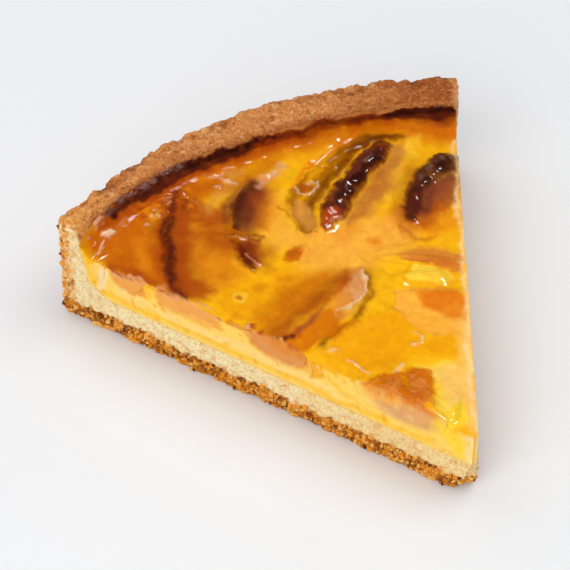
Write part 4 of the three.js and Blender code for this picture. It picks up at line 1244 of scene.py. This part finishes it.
def dressWedge(mesh, wedge):
    points, normals = pointsOf(mesh), normalsOf(mesh)
    depth, onLeft = cutDepth(points)
    level = fill["level"]
    free = np.where(onLeft, step(depth, 0.1, 1.0), step(depth, 0.3, 2.0))
    baked, skin = paintTop(points)
    sideways, ridge, curve = wedgeSpot(wedge, points[:, 0], points[:, 1])[:3]
    bare = free * (1 - step(sideways, 0.5, 0.8))
    lift = bare * (0.15 * layers(points, 4.0, 91) + 0.04 * grain(points, 1.2, 92))
    lift = lift + free * (gritLift(points, skin["grit"]) + skin["lift"])
    surface = level + ridge * np.clip(1 - sideways, 0, 1) ** curve
    upperEdge = step(points[:, 2] - surface, -0.3, -0.1) * step(points[:, 2], level, level + 0.2)
    face = (1 - step(depth, 0.02, 0.12)) * (1 - upperEdge)
    lift = lift + face * 0.12 * layers(points, 2.0, 93)
    points = points + normals * lift[:, None]
    movePoints(mesh, points)
    streak = np.clip(0.5 + 0.9 * layers(points * np.array([1, 1, 3.0]), 5.0, 95), 0, 1)
    section = tint(palette[wedge["section"]], palette["curd"], 0.5 * streak)
    high = step(points[:, 2], level - 3.5, level - 1.5)
    section = tint(palette["curd"], section, np.maximum(high, step(inWedge(points), -0.02, 0.22)))
    section = paintMarks(cutMarks, alongCut(points), section)[0]
    keepColour(mesh, "paint", tint(baked, section, face))
    keepValue(mesh, "glaze", (1 - 0.6 * face) * (1 - skin["dull"]))
    keepValue(mesh, "grit", skin["grit"] * (1 - face))


for name, wedge in wedges.items():
    wedgeBody = makeWedge(name, wedge)
    trimWedge(wedgeBody)
    dressWedge(wedgeBody, wedge)
    piece = place(name + "_wedge", wedgeBody, appleMaterial)
    wedgeBody.set_sharp_from_angle(angle=wedgeMesh["sharpFrom"])
    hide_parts(name)
    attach(piece, "root")
print("apple wedges", len(wedges))

for piece in (crust, crumbBits, custard):
    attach(piece, "root")

# floor, light and camera
studio = {
    "floor": srgb(235, 236, 238), "floorFade": 0.985, "floorReach": 2500, "floorDrop": 0.02,
    "lookAt": (-4.15, 85.39, 0.0), "distance": 624.1, "heading": math.radians(61.0),
    "elevation": math.radians(44.443), "sensor": 36.0, "lens": 36.0 * 2400 / 570, "lampAim": (0, 0, 0.015),
    "room": 0.44, "roomInGlaze": 0.02,  # the room is dark in reflections
}
lamps = {  # bearings turn from the right towards the back
    "keyBox": {"bearing": 20, "elevation": 62, "distance": 1.0, "size": 0.9, "power": 3.6},
    "frontBox": {"bearing": -118, "elevation": 36, "distance": 1.0, "size": 0.9, "power": 5.5},
    "backBox": {"bearing": 135, "elevation": 50, "distance": 0.8, "size": 0.6, "power": 0.9},
    "shine": {"bearing": 8, "elevation": 60, "distance": 1.0, "size": 0.32, "power": 6.0, "mirrored": True},
    "leftShine": {"bearing": 185, "elevation": 42, "distance": 0.9, "size": 0.14, "power": 0.5,
                  "mirrored": True},
}


def makeFloor():
    sheets = Sheets()
    span = np.linspace(-studio["floorReach"], studio["floorReach"], 6)
    sheets.grid(flat(*spread(span, span), -studio["floorDrop"]))
    finish = Finish("paleFloor")
    clouds = finish.noise(220.0, 2.0)
    colour = finish.blend(clouds, studio["floor"], studio["floor"] * studio["floorFade"])
    material = finish.surface({"Base Color": colour, "Roughness": 0.75, "Specular IOR Level": 0.15})
    floor = place("floor", sheets.mesh("floor"), material)


def aim(thing, spot, target):
    thing.location = spot
    thing.rotation_euler = (Vector(target) - Vector(spot)).to_track_quat("-Z", "Y").to_euler()


def makeLamp(name, bearing, elevation, distance, size, power, mirrored=False):
    light = bpy.data.lights.new(name, "AREA")
    light.shape, light.size, light.energy = "DISK", size, power
    lamp = bpy.data.objects.new(name, light)
    lamp.visible_glossy, lamp.visible_diffuse = mirrored, not mirrored  # some light shows only in the glaze
    bpy.context.scene.collection.objects.link(lamp)
    heading = studio["heading"] - math.pi / 2 + math.radians(bearing)
    level, up = distance * math.cos(math.radians(elevation)), distance * math.sin(math.radians(elevation))
    aim(lamp, (level * math.cos(heading), level * math.sin(heading), up), studio["lampAim"])


def makeCamera():
    camera = bpy.data.objects.new("camera", bpy.data.cameras.new("camera"))
    bpy.context.scene.collection.objects.link(camera)
    camera.data.sensor_width, camera.data.lens = studio["sensor"], studio["lens"]
    camera.data.clip_start = 0.01
    target = np.array(studio["lookAt"])
    level, up = math.cos(studio["elevation"]), math.sin(studio["elevation"])
    ahead = np.array([level * math.cos(studio["heading"]), level * math.sin(studio["heading"]), -up])
    aim(camera, tuple(toFrame(target - studio["distance"] * ahead)), tuple(toFrame(target)))
    bpy.context.scene.camera = camera


def makeWorld():
    world = bpy.data.worlds.new("studio")
    world.use_nodes = True
    tree = world.node_tree
    path = tree.nodes.new("ShaderNodeLightPath")
    share = tree.nodes.new("ShaderNodeMapRange")
    share.inputs[3].default_value, share.inputs[4].default_value = studio["room"], studio["roomInGlaze"]
    tree.links.new(path.outputs["Is Glossy Ray"], share.inputs[0])
    tree.links.new(share.outputs[0], tree.nodes["Background"].inputs[1])
    tree.nodes["Background"].inputs[0].default_value = (1, 1, 1, 1)
    bpy.context.scene.world = world


makeFloor()
makeWorld()
for name, lamp in lamps.items():
    makeLamp(name, **lamp)
makeCamera()
bpy.context.scene.view_settings.view_transform = "Standard"
print("studio ready")
